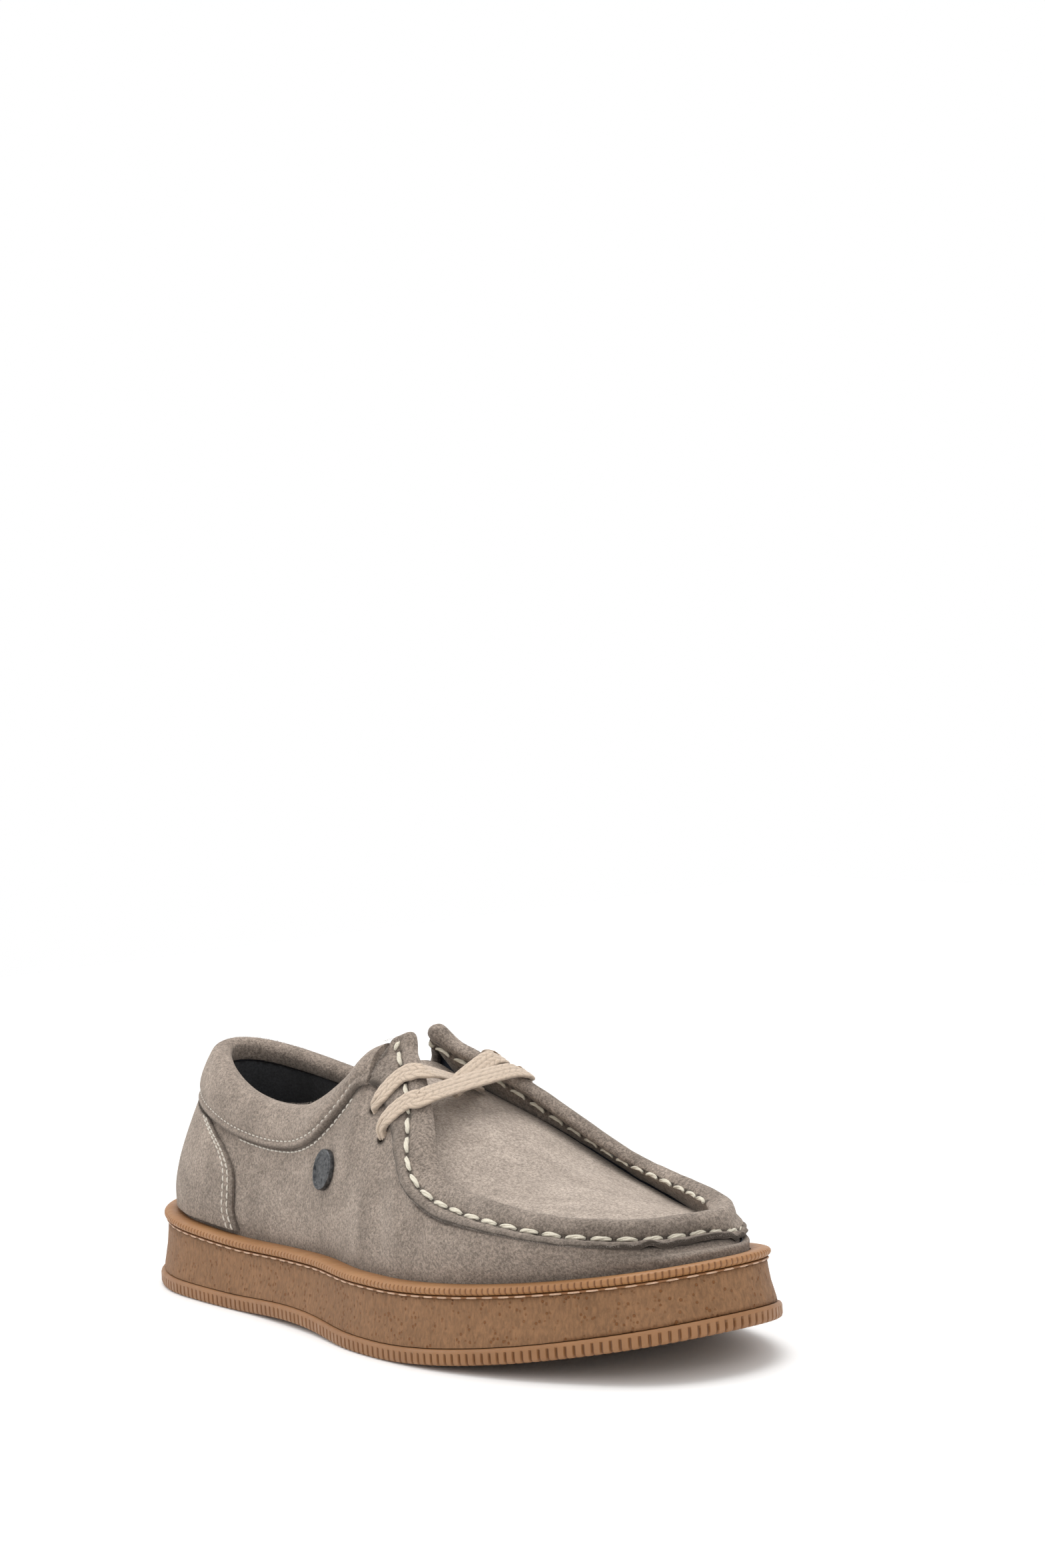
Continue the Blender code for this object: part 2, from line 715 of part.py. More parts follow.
def seam_section(column):
    """The folded strip: flange outside, a rounded ridge over the wall's top, a leg down inside."""
    gap = LAP_GAP
    inside = -(WALL + gap)
    leg = inside - SEAM
    half = column if column <= AROUND / 2 else AROUND - column
    foot = read(APRON_FORM, COLUMNS[half]) - 0.12
    return [
        skin(column, 6, LAP_GAP),
        skin(column, 6, LAP_GAP + SEAM * 0.8),
        skin(column, 7, LAP_GAP + SEAM * 0.9),
        skin(column, 7.5, LAP_GAP + SEAM),
        skin(column, 8, LAP_GAP + SEAM, gap),
        skin(column, 8, LAP_GAP + SEAM * 0.4, gap + SEAM * 0.8),
        skin(column, 8, -WALL * 0.5, gap + SEAM * 1.1),
        skin(column, 8, inside - SEAM * 0.5, gap + SEAM * 0.8),
        skin(column, 8, leg, gap),
        skin(column, 7.5, leg),
        skin(column, foot, leg),
        skin(column, foot, inside),
        skin(column, 7.5, inside),
        skin(column, 8, inside, gap),
        skin(column, 8, LAP_GAP, gap),
        skin(column, 7, LAP_GAP),
    ]


def make_seam():
    columns = range(TAB_COLUMN, AROUND - TAB_COLUMN + 1)
    return loft_sections("seam_binding", [seam_section(c) for c in columns], 11)


def collar_section(column, gap):
    """The puffed band: a step at its lower edge, full in the middle, folded in over the rim."""
    inside = -(WALL + gap)
    pad = COLLAR_PAD
    return [
        skin(column, 6, gap),
        skin(column, 6, gap + pad * 0.515),
        skin(column, 6.4, gap + pad * 0.848),
        skin(column, 7, gap + pad),
        skin(column, 7.6, gap + pad * 0.848),
        skin(column, 8, gap + pad * 0.576, gap),
        skin(column, 8, -WALL * 0.5, gap + pad * 0.515),
        skin(column, 8, inside - pad * 0.364, gap),
        skin(column, 7.5, inside - pad * 0.394),
        skin(column, 7.5, inside),
        skin(column, 8, inside, gap),
        skin(column, 8, gap, gap),
        skin(column, 7, gap),
    ]


def make_collar():
    last = TAB_COLUMN - 0.22
    tips = [last - 0.5, last - 0.25, last]
    columns = [-c for c in tips[::-1]] + list(range(1 - TAB_COLUMN, TAB_COLUMN)) + tips
    gaps = [LAP_GAP * (2 if abs(c) >= tips[1] else 1) for c in columns]
    return loft_sections("collar", [collar_section(c, g) for c, g in zip(columns, gaps)], 9)


def apron_edge(angle, side):
    level = read(APRON_FORM, angle)
    return skin(column_of(angle, side), level, -(WALL + SEAM + 2 * LAP_GAP))


def make_apron():
    """The plug on the toe and the tongue: arched strips between the two ridges, given thickness."""
    bm = bmesh.new()
    across = np.linspace(0, 1, 8)
    rows = []
    first = [apron_edge(98, side) for side in (-1, 1)]
    middle = (first[0] + first[1]) / 2
    for back, up, crown, keep in TONGUE_END:
        step = np.array([back, 0, up]) * TAB_HEIGHT
        rows.append(([middle + (p - middle) * keep + step for p in first], crown * TAB_HEIGHT))
    angles = [a for a in COLUMNS if 98 <= a <= 175] + [177.5]
    for angle in angles:
        crown = read(APRON_FORM, angle, 2) * TAB_HEIGHT
        rows.append(([apron_edge(angle, side) for side in (-1, 1)], crown))
    lines = []
    for (left, right), crown in rows:
        arch = [left + (right - left) * s + np.array([0, 0, crown * 4 * s * (1 - s)]) for s in across]
        lines.append([bm.verts.new(p) for p in arch])
    for first, second in zip(lines, lines[1:]):
        for k in range(len(across) - 1):
            bm.faces.new((first[k], second[k], second[k + 1], first[k + 1]))
    ob = add_object("apron", bm, closed=False)
    solid = ob.modifiers.new("thickness", "SOLIDIFY")
    solid.thickness = APRON
    solid.offset = -1
    return ob


def make_counter():
    """A thin overlay on the heel, following the upper, with an S-shaped front edge."""
    bm = bmesh.new()
    lines = []
    for level, angle in COUNTER_EDGE:
        reach = column_of(angle, -1)
        ahead = [0, 1, 2, 3, 4] + [4 + (reach - 4) * k / 4 for k in (1, 2, 3, 4)]
        columns = [-c for c in ahead[:0:-1]] + ahead
        lines.append([bm.verts.new(skin(c, level, LAP_GAP + COUNTER)) for c in columns])
    for low, high in zip(lines, lines[1:]):
        drape(bm, low, high, closed=False)
    ob = add_object("heel_counter", bm, closed=False)
    solid = ob.modifiers.new("thickness", "SOLIDIFY")
    solid.thickness = COUNTER
    solid.offset = -1
    return ob


def frame_on_skin(side, angle, level, lift):
    """Turn and place an object with its Z along the upper's normal and its Y up the wall."""
    column = column_of(angle, side)
    place = skin(column, level, lift)
    z = Vector(skin(column, level, 1.0) - skin(column, level, 0.0)).normalized()
    y = Vector(skin(column, level + 0.2) - skin(column, level - 0.2))
    x = y.cross(z).normalized()
    y = z.cross(x)
    turn = Matrix((x, y, z)).transposed().to_4x4()
    return Matrix.Translation(Vector(place) + Vector((0, SHIFT_Y, 0))) @ turn


def make_badge():
    """A bare oval plate with a raised rim."""
    side, angle, level = BADGE_PLACE
    wide, tall, thick = BADGE_SIZE
    bm = bmesh.new()
    profile = [(1.00, 0.0), (1.00, 0.75), (0.93, 1.0), (0.82, 1.0), (0.76, 0.70)]
    rings = []
    for share, height in profile:
        ring = []
        for k in range(20):
            turn = 2 * math.pi * k / 20
            ring.append(bm.verts.new((wide / 2 * share * math.cos(turn),
                                      tall / 2 * share * math.sin(turn), thick * height)))
        rings.append(ring)
    for first, second in zip(rings, rings[1:]):
        bridge(bm, first, second)
    bm.faces.new(rings[0][::-1])
    bm.faces.new(rings[-1])
    bmesh.ops.recalc_face_normals(bm, faces=bm.faces)
    mesh = bpy.data.meshes.new("badge")
    bm.to_mesh(mesh)
    bm.free()
    mesh.materials.append(material("badge"))
    ob = bpy.data.objects.new("badge", mesh)
    parts.objects.link(ob)
    ob.matrix_world = frame_on_skin(side, angle, level, BADGE_LIFT)
    return ob


def punch_eyelets(upper):
    """Four round holes through the suede, two a side."""
    for k, (side, angle, level) in enumerate(EYELETS):
        bm = bmesh.new()
        bmesh.ops.create_cone(bm, cap_ends=True, segments=12, radius1=EYELET_RADIUS,
                              radius2=EYELET_RADIUS, depth=WALL * 5.5)
        mesh = bpy.data.meshes.new("eyelet_cutter")
        bm.to_mesh(mesh)
        bm.free()
        cutter = bpy.data.objects.new("eyelet_cutter_%d" % (k + 1), mesh)
        cutters.objects.link(cutter)
        cutter.matrix_world = frame_on_skin(side, angle, level, -WALL / 2)
        cutter.hide_render = True
        cutter.display_type = "WIRE"
        cut = upper.modifiers.new("eyelet_%d" % (k + 1), "BOOLEAN")
        cut.operation = "DIFFERENCE"
        cut.object = cutter


def lace_station(side, angle, level, lift, past):
    column = column_of(angle, side)
    point = skin(column, level, lift * LACE_THICK, past * LACE_OVER)
    normal = skin(column, level, 1.0) - skin(column, level, 0.0)
    if past > 0:
        lean = min(1.0, past)
        normal = normal * (1 - lean) + np.array([0.0, 0.0, 1.0]) * lean
    return point, normal / np.linalg.norm(normal)


def lace_run(name, stations):
    """A flat lace swept through its stations, each a point and the way its face looks."""
    points = np.array([p for p, n in stations])
    ahead = np.gradient(points, axis=0)
    sections = []
    for (point, normal), along in zip(stations, ahead):
        along = along / np.linalg.norm(along)
        face = normal - along * np.dot(normal, along)
        face /= np.linalg.norm(face)
        wide = np.cross(along, face)
        w = LACE_WIDTH / 2
        t = LACE_THICK / 2
        shape = [(-w, 0), (-w * 0.8, -t), (w * 0.8, -t), (w, 0), (w * 0.8, t), (-w * 0.8, t)]
        sections.append([point + wide * a + face * b for a, b in shape])
    return loft_sections(name, sections)


def make_lace():
    """Two crossed runs and a bar over the throat, joined where they cross."""
    up = np.array([0.0, 0.0, 1.0])
    size = np.array([LENGTH, BALL_WIDTH, TAB_HEIGHT])
    bar = lace_run("lace", [lace_station(*row) for row in LACE_BAR])
    for key, table in (("outer", LACE_OUTER_TOP), ("inner", LACE_INNER_TOP)):
        run = [lace_station(*row) for row in table]
        run += [(np.array(row) * size, up) for row in LACE_TUCKS[key]]
        other = lace_run("lace_" + key, run)
        parts.objects.unlink(other)
        cutters.objects.link(other)
        other.hide_render = True
        other.display_type = "WIRE"
        join = bar.modifiers.new(key, "BOOLEAN")
        join.operation = "UNION"
        join.object = other
    return bar


def main():
    clear_scene()
    make_outsole()
    make_midsole()
    make_welt()
    make_insole()
    punch_eyelets(make_upper())
    make_seam()
    make_collar()
    make_apron()
    make_counter()
    make_badge()
    make_lace()


main()
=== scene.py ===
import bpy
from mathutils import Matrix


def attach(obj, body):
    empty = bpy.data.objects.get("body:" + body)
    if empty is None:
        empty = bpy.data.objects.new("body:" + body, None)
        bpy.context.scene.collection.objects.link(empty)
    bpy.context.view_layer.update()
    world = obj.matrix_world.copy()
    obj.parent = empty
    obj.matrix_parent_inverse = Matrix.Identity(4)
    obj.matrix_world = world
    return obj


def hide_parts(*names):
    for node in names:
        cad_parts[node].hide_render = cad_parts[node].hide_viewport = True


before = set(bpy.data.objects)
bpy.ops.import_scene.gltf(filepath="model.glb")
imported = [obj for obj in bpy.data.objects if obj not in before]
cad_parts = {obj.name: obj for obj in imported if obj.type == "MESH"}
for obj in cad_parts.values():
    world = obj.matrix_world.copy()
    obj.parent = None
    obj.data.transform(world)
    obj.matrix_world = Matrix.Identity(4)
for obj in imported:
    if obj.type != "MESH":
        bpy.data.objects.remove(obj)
"""Looks of a right casual shoe: a suede moccasin on a gum cup sole.

Lengths are in metres. The toe points along +X, the outer side of the foot faces -Y, and z = 0 is the floor.
The suede pieces are read from the same grid of columns and levels as the solids that they stand for.
"""
import math

import bmesh
import bpy
import numpy as np
from mathutils import Matrix, Vector, noise
from mathutils.kdtree import KDTree

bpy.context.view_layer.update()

# Sizes of the whole shoe, the same as those of the solids
LENGTH = 0.300
BALL_WIDTH = 0.106
TAB_HEIGHT = 0.0945
CLEAR = 0.0003
LAP_GAP = 0.0006

# Sizes of the sole
TOE_SPRING = 0.0137
SPRING_START = 0.038
SPRING_CURVE = 1.7
ARCH = 0.0013
ARCH_MIDDLE = -0.024
ARCH_REACH = 0.044
BAND = 0.0050
RIB_COUNT = 232
RIB_DEPTH = 0.0008
RIM = 0.0073
FIELD_DEPTH = 0.0011
BAR_COUNT = 13
BAR_PITCH = LENGTH / 14.21
BAR_WIDTH = 0.0051
BAR_INSET = 0.0155
# The first bar's place, in bar pitches from the toe
FIRST_BAR = 1.08
CUP_HEIGHT = 0.0242
WELT = 0.0031
FOOT_INSET = 0.0089

# Sizes of the suede pieces
WALL = 0.0022
COUNTER = 0.0012
SEAM = 0.0014
APRON = 0.0020
COLLAR_PAD = 0.0033

# Half widths of the sole, as shares of BALL_WIDTH, round the plan from the heel (0) to the toe (180)
OUTLINE = [
    # angle, outer side, inner side
    (0, 0.674, 0.773),
    (20, 0.665, 0.746),
    (40, 0.588, 0.620),
    (55, 0.508, 0.445),
    (70, 0.458, 0.341),
    (85, 0.470, 0.343),
    (100, 0.548, 0.415),
    (115, 0.600, 0.498),
    (130, 0.623, 0.536),
    (145, 0.647, 0.589),
    (160, 0.728, 0.647),
    (180, 0.809, 0.719),
]

# Height of the cup's side wall over the ground line, along the shoe
WALL_HEIGHT = [
    # share of LENGTH from the middle, share of CUP_HEIGHT
    (-0.50, 1.0000),
    (-0.25, 0.8554),
    (-0.10, 0.8140),
    (0.00, 0.8512),
    (0.12, 0.8802),
    (0.25, 0.8678),
    (0.50, 0.7769),
]

# The top line of the outer side: x as a share of LENGTH, y of BALL_WIDTH, z of TAB_HEIGHT.
# The collar runs from the back of the heel (0) to the tab, and the throat from the tab to the toe (180).
COLLAR_OUTER = [
    # angle, x, y, z
    (0, -0.408, 0.000, 0.866),
    (12, -0.399, -0.080, 0.860),
    (25, -0.367, -0.140, 0.833),
    (38, -0.323, -0.190, 0.793),
    (50, -0.266, -0.226, 0.742),
    (62, -0.195, -0.248, 0.711),
    (72, -0.130, -0.248, 0.718),
    (80, -0.083, -0.238, 0.772),
    (87, -0.038, -0.210, 0.866),
    (92, -0.006, -0.176, 0.962),
    (96, 0.024, -0.134, 0.980),
]
THROAT_OUTER = [
    # angle, x, y, z
    (96, 0.024, -0.134, 0.980),
    (100, 0.055, -0.166, 0.915),
    (104, 0.088, -0.212, 0.844),
    (108, 0.113, -0.256, 0.767),
    (112, 0.136, -0.306, 0.679),
    (116, 0.157, -0.335, 0.610),
    (121, 0.190, -0.351, 0.557),
    (127, 0.232, -0.356, 0.533),
    (134, 0.280, -0.351, 0.514),
    (142, 0.330, -0.327, 0.494),
    (150, 0.372, -0.278, 0.484),
    (160, 0.407, -0.191, 0.476),
    (170, 0.423, -0.094, 0.472),
    (180, 0.428, 0.010, 0.470),
]
COLLAR_INNER = [
    # angle, x, y, z
    (0, -0.408, 0.000, 0.866),
    (12, -0.399, 0.080, 0.852),
    (25, -0.366, 0.140, 0.822),
    (38, -0.324, 0.188, 0.784),
    (50, -0.268, 0.222, 0.742),
    (62, -0.204, 0.242, 0.718),
    (72, -0.150, 0.238, 0.732),
    (80, -0.110, 0.215, 0.790),
    (87, -0.080, 0.172, 0.872),
    (92, -0.058, 0.116, 0.950),
    (96, -0.034, 0.068, 0.966),
]
THROAT_INNER = [
    # angle, x, y, z
    (96, -0.034, 0.068, 0.966),
    (100, 0.012, 0.102, 0.903),
    (104, 0.056, 0.148, 0.834),
    (108, 0.094, 0.196, 0.757),
    (112, 0.133, 0.234, 0.681),
    (116, 0.167, 0.261, 0.618),
    (121, 0.205, 0.281, 0.561),
    (127, 0.243, 0.287, 0.528),
    (134, 0.285, 0.278, 0.505),
    (142, 0.330, 0.259, 0.488),
    (150, 0.370, 0.223, 0.480),
    (160, 0.405, 0.157, 0.472),
    (170, 0.422, 0.085, 0.470),
    (180, 0.428, 0.010, 0.470),
]

# How each column of the upper bends on its way up, as shares of TAB_HEIGHT
BEND = [
    # angle, rise at foot, belly at foot, reach at top, drop at top, lip out, lip down, cover
    (0, 0.2328, 0.0127, 0.0635, 0.1693, 0.0000, 0.0000, 0.2116),
    (35, 0.1905, 0.0169, 0.0529, 0.1481, 0.0000, 0.0000, 0.1746),
    (62, 0.1587, 0.0190, 0.0370, 0.1270, 0.0000, 0.0000, 0.1429),
    (80, 0.2116, 0.0159, 0.0847, 0.1481, 0.0000, 0.0000, 0.1534),
    (90, 0.2328, 0.0106, 0.1376, 0.1270, 0.0000, 0.0000, 0.1587),
    (96, 0.2328, 0.0106, 0.1270, 0.1058, 0.0423, 0.0339, 0.2011),
    (104, 0.2116, 0.0159, 0.0952, 0.0847, 0.0529, 0.0381, 0.2222),
    (112, 0.1693, 0.0212, 0.0794, 0.0423, 0.0614, 0.0423, 0.2011),
    (121, 0.1270, 0.0265, 0.0741, 0.0212, 0.0614, 0.0402, 0.1693),
    (134, 0.1058, 0.0265, 0.0635, 0.0106, 0.0508, 0.0402, 0.1270),
    (150, 0.0847, 0.0212, 0.0423, 0.0106, 0.0381, 0.0466, 0.1164),
    (165, 0.0635, 0.0127, 0.0317, 0.0106, 0.0296, 0.0529, 0.1058),
    (180, 0.0529, 0.0106, 0.0265, 0.0106, 0.0275, 0.0550, 0.1005),
]

COLUMNS = [0, 9, 18, 27, 35, 43, 50, 56, 62, 67, 72, 76, 80, 84, 88, 92, 96, 98, 100, 102, 104, 106,
           108, 110, 112, 114, 116, 119, 122, 126, 130, 135, 140, 146, 152, 158, 164, 170, 175, 180]
TAB_COLUMN = COLUMNS.index(92)
LEVELS = 8

# Where the apron's edge meets the wall inside the ridge, and how high the apron arches between
APRON_FORM = [
    # angle, level of the edge, crown as a share of TAB_HEIGHT
    (96, 6.20, 0.0159),
    (104, 6.35, 0.0423),
    (110, 6.55, 0.0688),
    (116, 6.85, 0.0825),
    (124, 7.15, 0.0741),
    (140, 7.20, 0.0529),
    (160, 7.20, 0.0265),
    (180, 7.20, 0.0053),
]
TONGUE_END = [
    # step back, step up and crown as shares of TAB_HEIGHT, share of the width kept
    (-0.150, 0.085, 0.0127, 0.50),
    (-0.125, 0.070, 0.0127, 0.68),
    (-0.065, 0.034, 0.0127, 0.84),
]

# Front edge of the heel counter: angle and level on the upper's grid, from the sole up
COUNTER_EDGE = [
    # level, angle
    (1.12, 61.5),
    (2.00, 60.0),
    (3.00, 59.0),
    (4.00, 57.0),
    (4.70, 53.5),
    (5.30, 48.0),
    (5.85, 39.0),
]

# Eyelets and badge on the upper's grid
EYELETS = [
    # side, angle, level
    (-1, 96.0, 5.35),
    (-1, 99.8, 5.10),
    (1, 96.0, 5.35),
    (1, 99.8, 5.10),
]
EYELET_RADIUS = 0.0017
BADGE_PLACE = (-1, 85.4, 4.0)
BADGE_HALF = (0.0062, 0.0068)
BADGE_THICK = 0.0013
BADGE_LIFT = 0.0007

# The flat lace
LACE_WIDTH = 0.0066
LACE_THICK = 0.0017


def run_along(line):
    """Length run so far at each point of a line."""
    return np.concatenate([[0], np.cumsum(np.linalg.norm(np.diff(line, axis=0), axis=1))])


def at_run(spots, run, line):
    """Points of a line where its run so far is each of spots."""
    return np.stack([np.interp(spots, run, line[:, k]) for k in range(line.shape[1])], axis=-1)


def unit(vectors):
    """The same directions with a length of 1."""
    return vectors / np.linalg.norm(vectors, axis=-1, keepdims=True)


def ease(low, high, x):
    """0 below low, 1 above high, and a smooth step between."""
    t = np.clip((np.asarray(x, float) - low) / (high - low), 0, 1)
    return t * t * (3 - 2 * t)


def read(table, at, column=1):
    """A smooth curve through one column of a table."""
    keys = [row[0] for row in table]
    vals = [row[column] for row in table]
    at = min(max(at, keys[0]), keys[-1])
    k = max(i for i in range(len(keys) - 1) if keys[i] <= at)
    span = keys[k + 1] - keys[k]
    t = (at - keys[k]) / span

    def slope(i):
        a = max(i - 1, 0)
        b = min(i + 1, len(keys) - 1)
        return (vals[b] - vals[a]) / (keys[b] - keys[a])

    h00 = 2 * t ** 3 - 3 * t ** 2 + 1
    h10 = t ** 3 - 2 * t ** 2 + t
    h01 = 3 * t ** 2 - 2 * t ** 3
    h11 = t ** 3 - t ** 2
    return h00 * vals[k] + h10 * span * slope(k) + h01 * vals[k + 1] + h11 * span * slope(k + 1)


def outline(angle):
    """Plan of the sole: 0 is the heel, 180 the toe, 0..180 the outer side and 180..360 the inner side."""
    angle = angle % 360
    side = -1 if angle <= 180 else 1
    half = angle if angle <= 180 else 360 - angle
    width = read(OUTLINE, half, 1 if side < 0 else 2) * BALL_WIDTH
    turn = math.radians(half)
    return np.array([-LENGTH / 2 * math.cos(turn), side * width * math.sin(turn)])


SIDES = np.array([outline(a)[1] for a in range(360)])
SHIFT_Y = -(SIDES.max() + SIDES.min()) / 2


def outward(angle):
    """Level direction square to the outline."""
    ahead = outline(angle + 1.0) - outline(angle - 1.0)
    normal = unit(np.array([ahead[1], -ahead[0]]))
    return normal if np.dot(normal, outline(angle)) > 0 else -normal


def inset(angle, depth):
    """Plan of the sole, moved inward by depth."""
    return outline(angle) - outward(angle) * depth


def ground(x):
    """The toe lifts off the floor ahead of the ball, and the waist a little behind it."""
    ahead = max(0.0, x - SPRING_START) / (LENGTH / 2 - SPRING_START)
    waist = min(1.0, abs(x - ARCH_MIDDLE) / ARCH_REACH)
    return TOE_SPRING * ahead ** SPRING_CURVE + ARCH * (1 - waist ** 2) ** 2


def wall_top(x):
    """Height of the cup's side wall over the ground line."""
    return read(WALL_HEIGHT, x / LENGTH) * CUP_HEIGHT


def even_angles(count):
    """Angles that space a loop evenly along the outline."""
    fine = np.linspace(0, 360, 1441)
    run = run_along(np.array([outline(a) for a in fine]))
    return np.interp(np.linspace(0, run[-1], count, endpoint=False), run, fine)


def top_point(angle, side):
    """The upper's top line at an angle, before the sole is centred."""
    if angle <= 96:
        table = COLLAR_OUTER if side < 0 else COLLAR_INNER
    else:
        table = THROAT_OUTER if side < 0 else THROAT_INNER
    shares = [read(table, angle, k) for k in (1, 2, 3)]
    return np.array(shares) * (LENGTH, BALL_WIDTH, TAB_HEIGHT)


def column_points(angle, side):
    """One line of the upper's outer face, from the sole up to the top line."""
    around = angle if side < 0 else 360 - angle
    up = np.array([0, 0, 1.0])
    out = np.array([*outward(around), 0])
    x, y = inset(around, FOOT_INSET)
    foot = np.array([x, y, ground(x) + wall_top(x) + CLEAR])
    start = foot + up * (WELT + LAP_GAP)
    rise, belly, reach, drop, lip_out, lip_down, cover = [
        read(BEND, angle, k) * TAB_HEIGHT for k in range(1, 8)]
    top = top_point(angle, side)
    end = top + out * lip_out - up * lip_down
    pulls = [start, start + up * rise + out * belly, end + out * reach - up * drop, end]
    line = []
    for t in np.linspace(0, 1, 61):
        weights = ((1 - t) ** 3, 3 * t * (1 - t) ** 2, 3 * t * t * (1 - t), t ** 3)
        line.append(sum(share * pull for share, pull in zip(weights, pulls)))
    lip = float(np.linalg.norm(top - end))
    if lip > CLEAR / 100:
        line.append(top)
    line = np.array(line)
    run = run_along(line)
    edge = run[-1] - cover
    fold = run[-1] - (lip if lip > 0.03 * TAB_HEIGHT else 0.45 * cover)
    marks = [*np.linspace(0, edge, LEVELS - 2), fold, run[-1]]
    return [foot, *at_run(marks, run, line)]


def build_skin():
    """Grid of the upper's outer face, its normals, and the direction off its top edge."""
    outer = [column_points(a, -1) for a in COLUMNS]
    inner = [column_points(a, 1) for a in COLUMNS[1:-1]]
    grid = np.array(outer + inner[::-1])
    along = np.roll(grid, -1, axis=0) - np.roll(grid, 1, axis=0)
    rising = np.gradient(grid, axis=1)
    rising[:, 0] = grid[:, 1] - grid[:, 0]
    normal = unit(np.cross(along, rising))
    return grid, normal, unit(np.cross(normal[:, -1], unit(along[:, -1])))


SKIN, NORMALS, OFF_EDGE = build_skin()
AROUND = len(SKIN)
SHIFT = np.array([0.0, SHIFT_Y, 0.0])

# The inner front corner of the toe, where the seam dips: its column, its reach in columns, and its drop
TOE_CORNER = 43.6
TOE_REACH = 2.6
TOE_DROP = np.array([-0.0008, -0.0012, -0.0030])


def column_of(angle, side):
    """Grid column, with a fraction, at an angle on one side."""
    place = float(np.interp(angle, COLUMNS, range(len(COLUMNS))))
    return place if side < 0 else AROUND - place


def from_heel(column):
    """Columns counted from the heel's middle, the same on both sides."""
    return np.minimum(np.abs(column), AROUND - np.abs(column))


# Smooth surface through the grid

def blend_weights(t):
    """Shares of four neighbours in a smooth curve through the middle two."""
    return np.stack([-t / 2 + t ** 2 - t ** 3 / 2, 1 - 2.5 * t ** 2 + 1.5 * t ** 3,
                     t / 2 + 2 * t ** 2 - 1.5 * t ** 3, -t ** 2 / 2 + t ** 3 / 2])


def padded_rows(grid):
    """The grid with one more level past each end, for the smooth curve to lean on."""
    below = 2 * grid[:, :1] - grid[:, 1:2]
    above = 2 * grid[:, -1:] - grid[:, -2:-1]
    return np.concatenate([below, grid, above], axis=1)


POINTS = padded_rows(SKIN)
FACING = padded_rows(NORMALS)


def surf(column, level, lift=0.0, past=0.0, frame_too=False):
    """Points over the upper, and if asked the way each faces; every argument may be an array."""
    places = [np.asarray(v, float) for v in (column, level, lift, past)]
    column, level, lift, past = np.broadcast_arrays(*places)
    i = np.floor(column).astype(int)
    j = np.clip(np.floor(level).astype(int), 0, LEVELS - 1)
    across = blend_weights(column - i)
    upward = blend_weights(level - j)
    point = np.zeros(column.shape + (3,))
    normal = np.zeros(column.shape + (3,))
    away = np.zeros(column.shape + (3,))
    for a in range(4):
        ring = (i + a - 1) % AROUND
        away += across[a][..., None] * OFF_EDGE[ring]
        for b in range(4):
            share = (across[a] * upward[b])[..., None]
            point += share * POINTS[ring, j + b]
            normal += share * FACING[ring, j + b]
    normal = unit(normal)
    point = point + normal * lift[..., None] + unit(away) * past[..., None] + SHIFT
    drop = toe_corner(column) * ease(1.5, 4.5, level) * (1 - 0.7 * ease(7.1, 8.0, level))
    point = point + drop[..., None] * TOE_DROP
    return (point, normal) if frame_too else point


def toe_corner(column, reach=TOE_REACH):
    """1 at the inner front corner of the toe and 0 away from it."""
    return np.exp(-(((column % AROUND) - TOE_CORNER) / reach) ** 2)


def smooth_line(points, per):
    """A smooth line through points, with per steps between each two."""
    pts = np.asarray(points, float)
    pts = np.concatenate([2 * pts[:1] - pts[1:2], pts, 2 * pts[-1:] - pts[-2:-1]])
    at = np.linspace(0, len(points) - 1, (len(points) - 1) * per + 1)
    i = np.minimum(np.floor(at).astype(int), len(points) - 2)
    w = blend_weights(at - i)
    return sum(w[k][:, None] * pts[i + k] for k in range(4))


def curve(points, count):
    """A smooth line through points, as count evenly spaced ones."""
    fine = smooth_line(points, 12)
    run = run_along(fine)
    return at_run(np.linspace(0, run[-1], count), run, fine)


def ring_of(wide, up, count):
    """A ring of points round the origin, reaching wide one way and up the other."""
    turn = np.linspace(0, 2 * math.pi, count, endpoint=False)
    return wide * np.cos(turn)[:, None] + up * np.sin(turn)[:, None]


def tree_of(points):
    """A search tree for the nearest of some points."""
    tree = KDTree(len(points))
    for k, point in enumerate(points):
        tree.insert(Vector(point), k)
    tree.balance()
    return tree


def noise_at(points, scale, seed=0.0):
    """Soft noise from -1 to 1 at points, features about 1 / scale metres wide."""
    flat = np.asarray(points).reshape(-1, 3)
    vals = [noise.noise(Vector((p[0] * scale + seed, p[1] * scale - seed, p[2] * scale))) for p in flat]
    return np.array(vals).reshape(np.asarray(points).shape[:-1])


# Mesh pieces

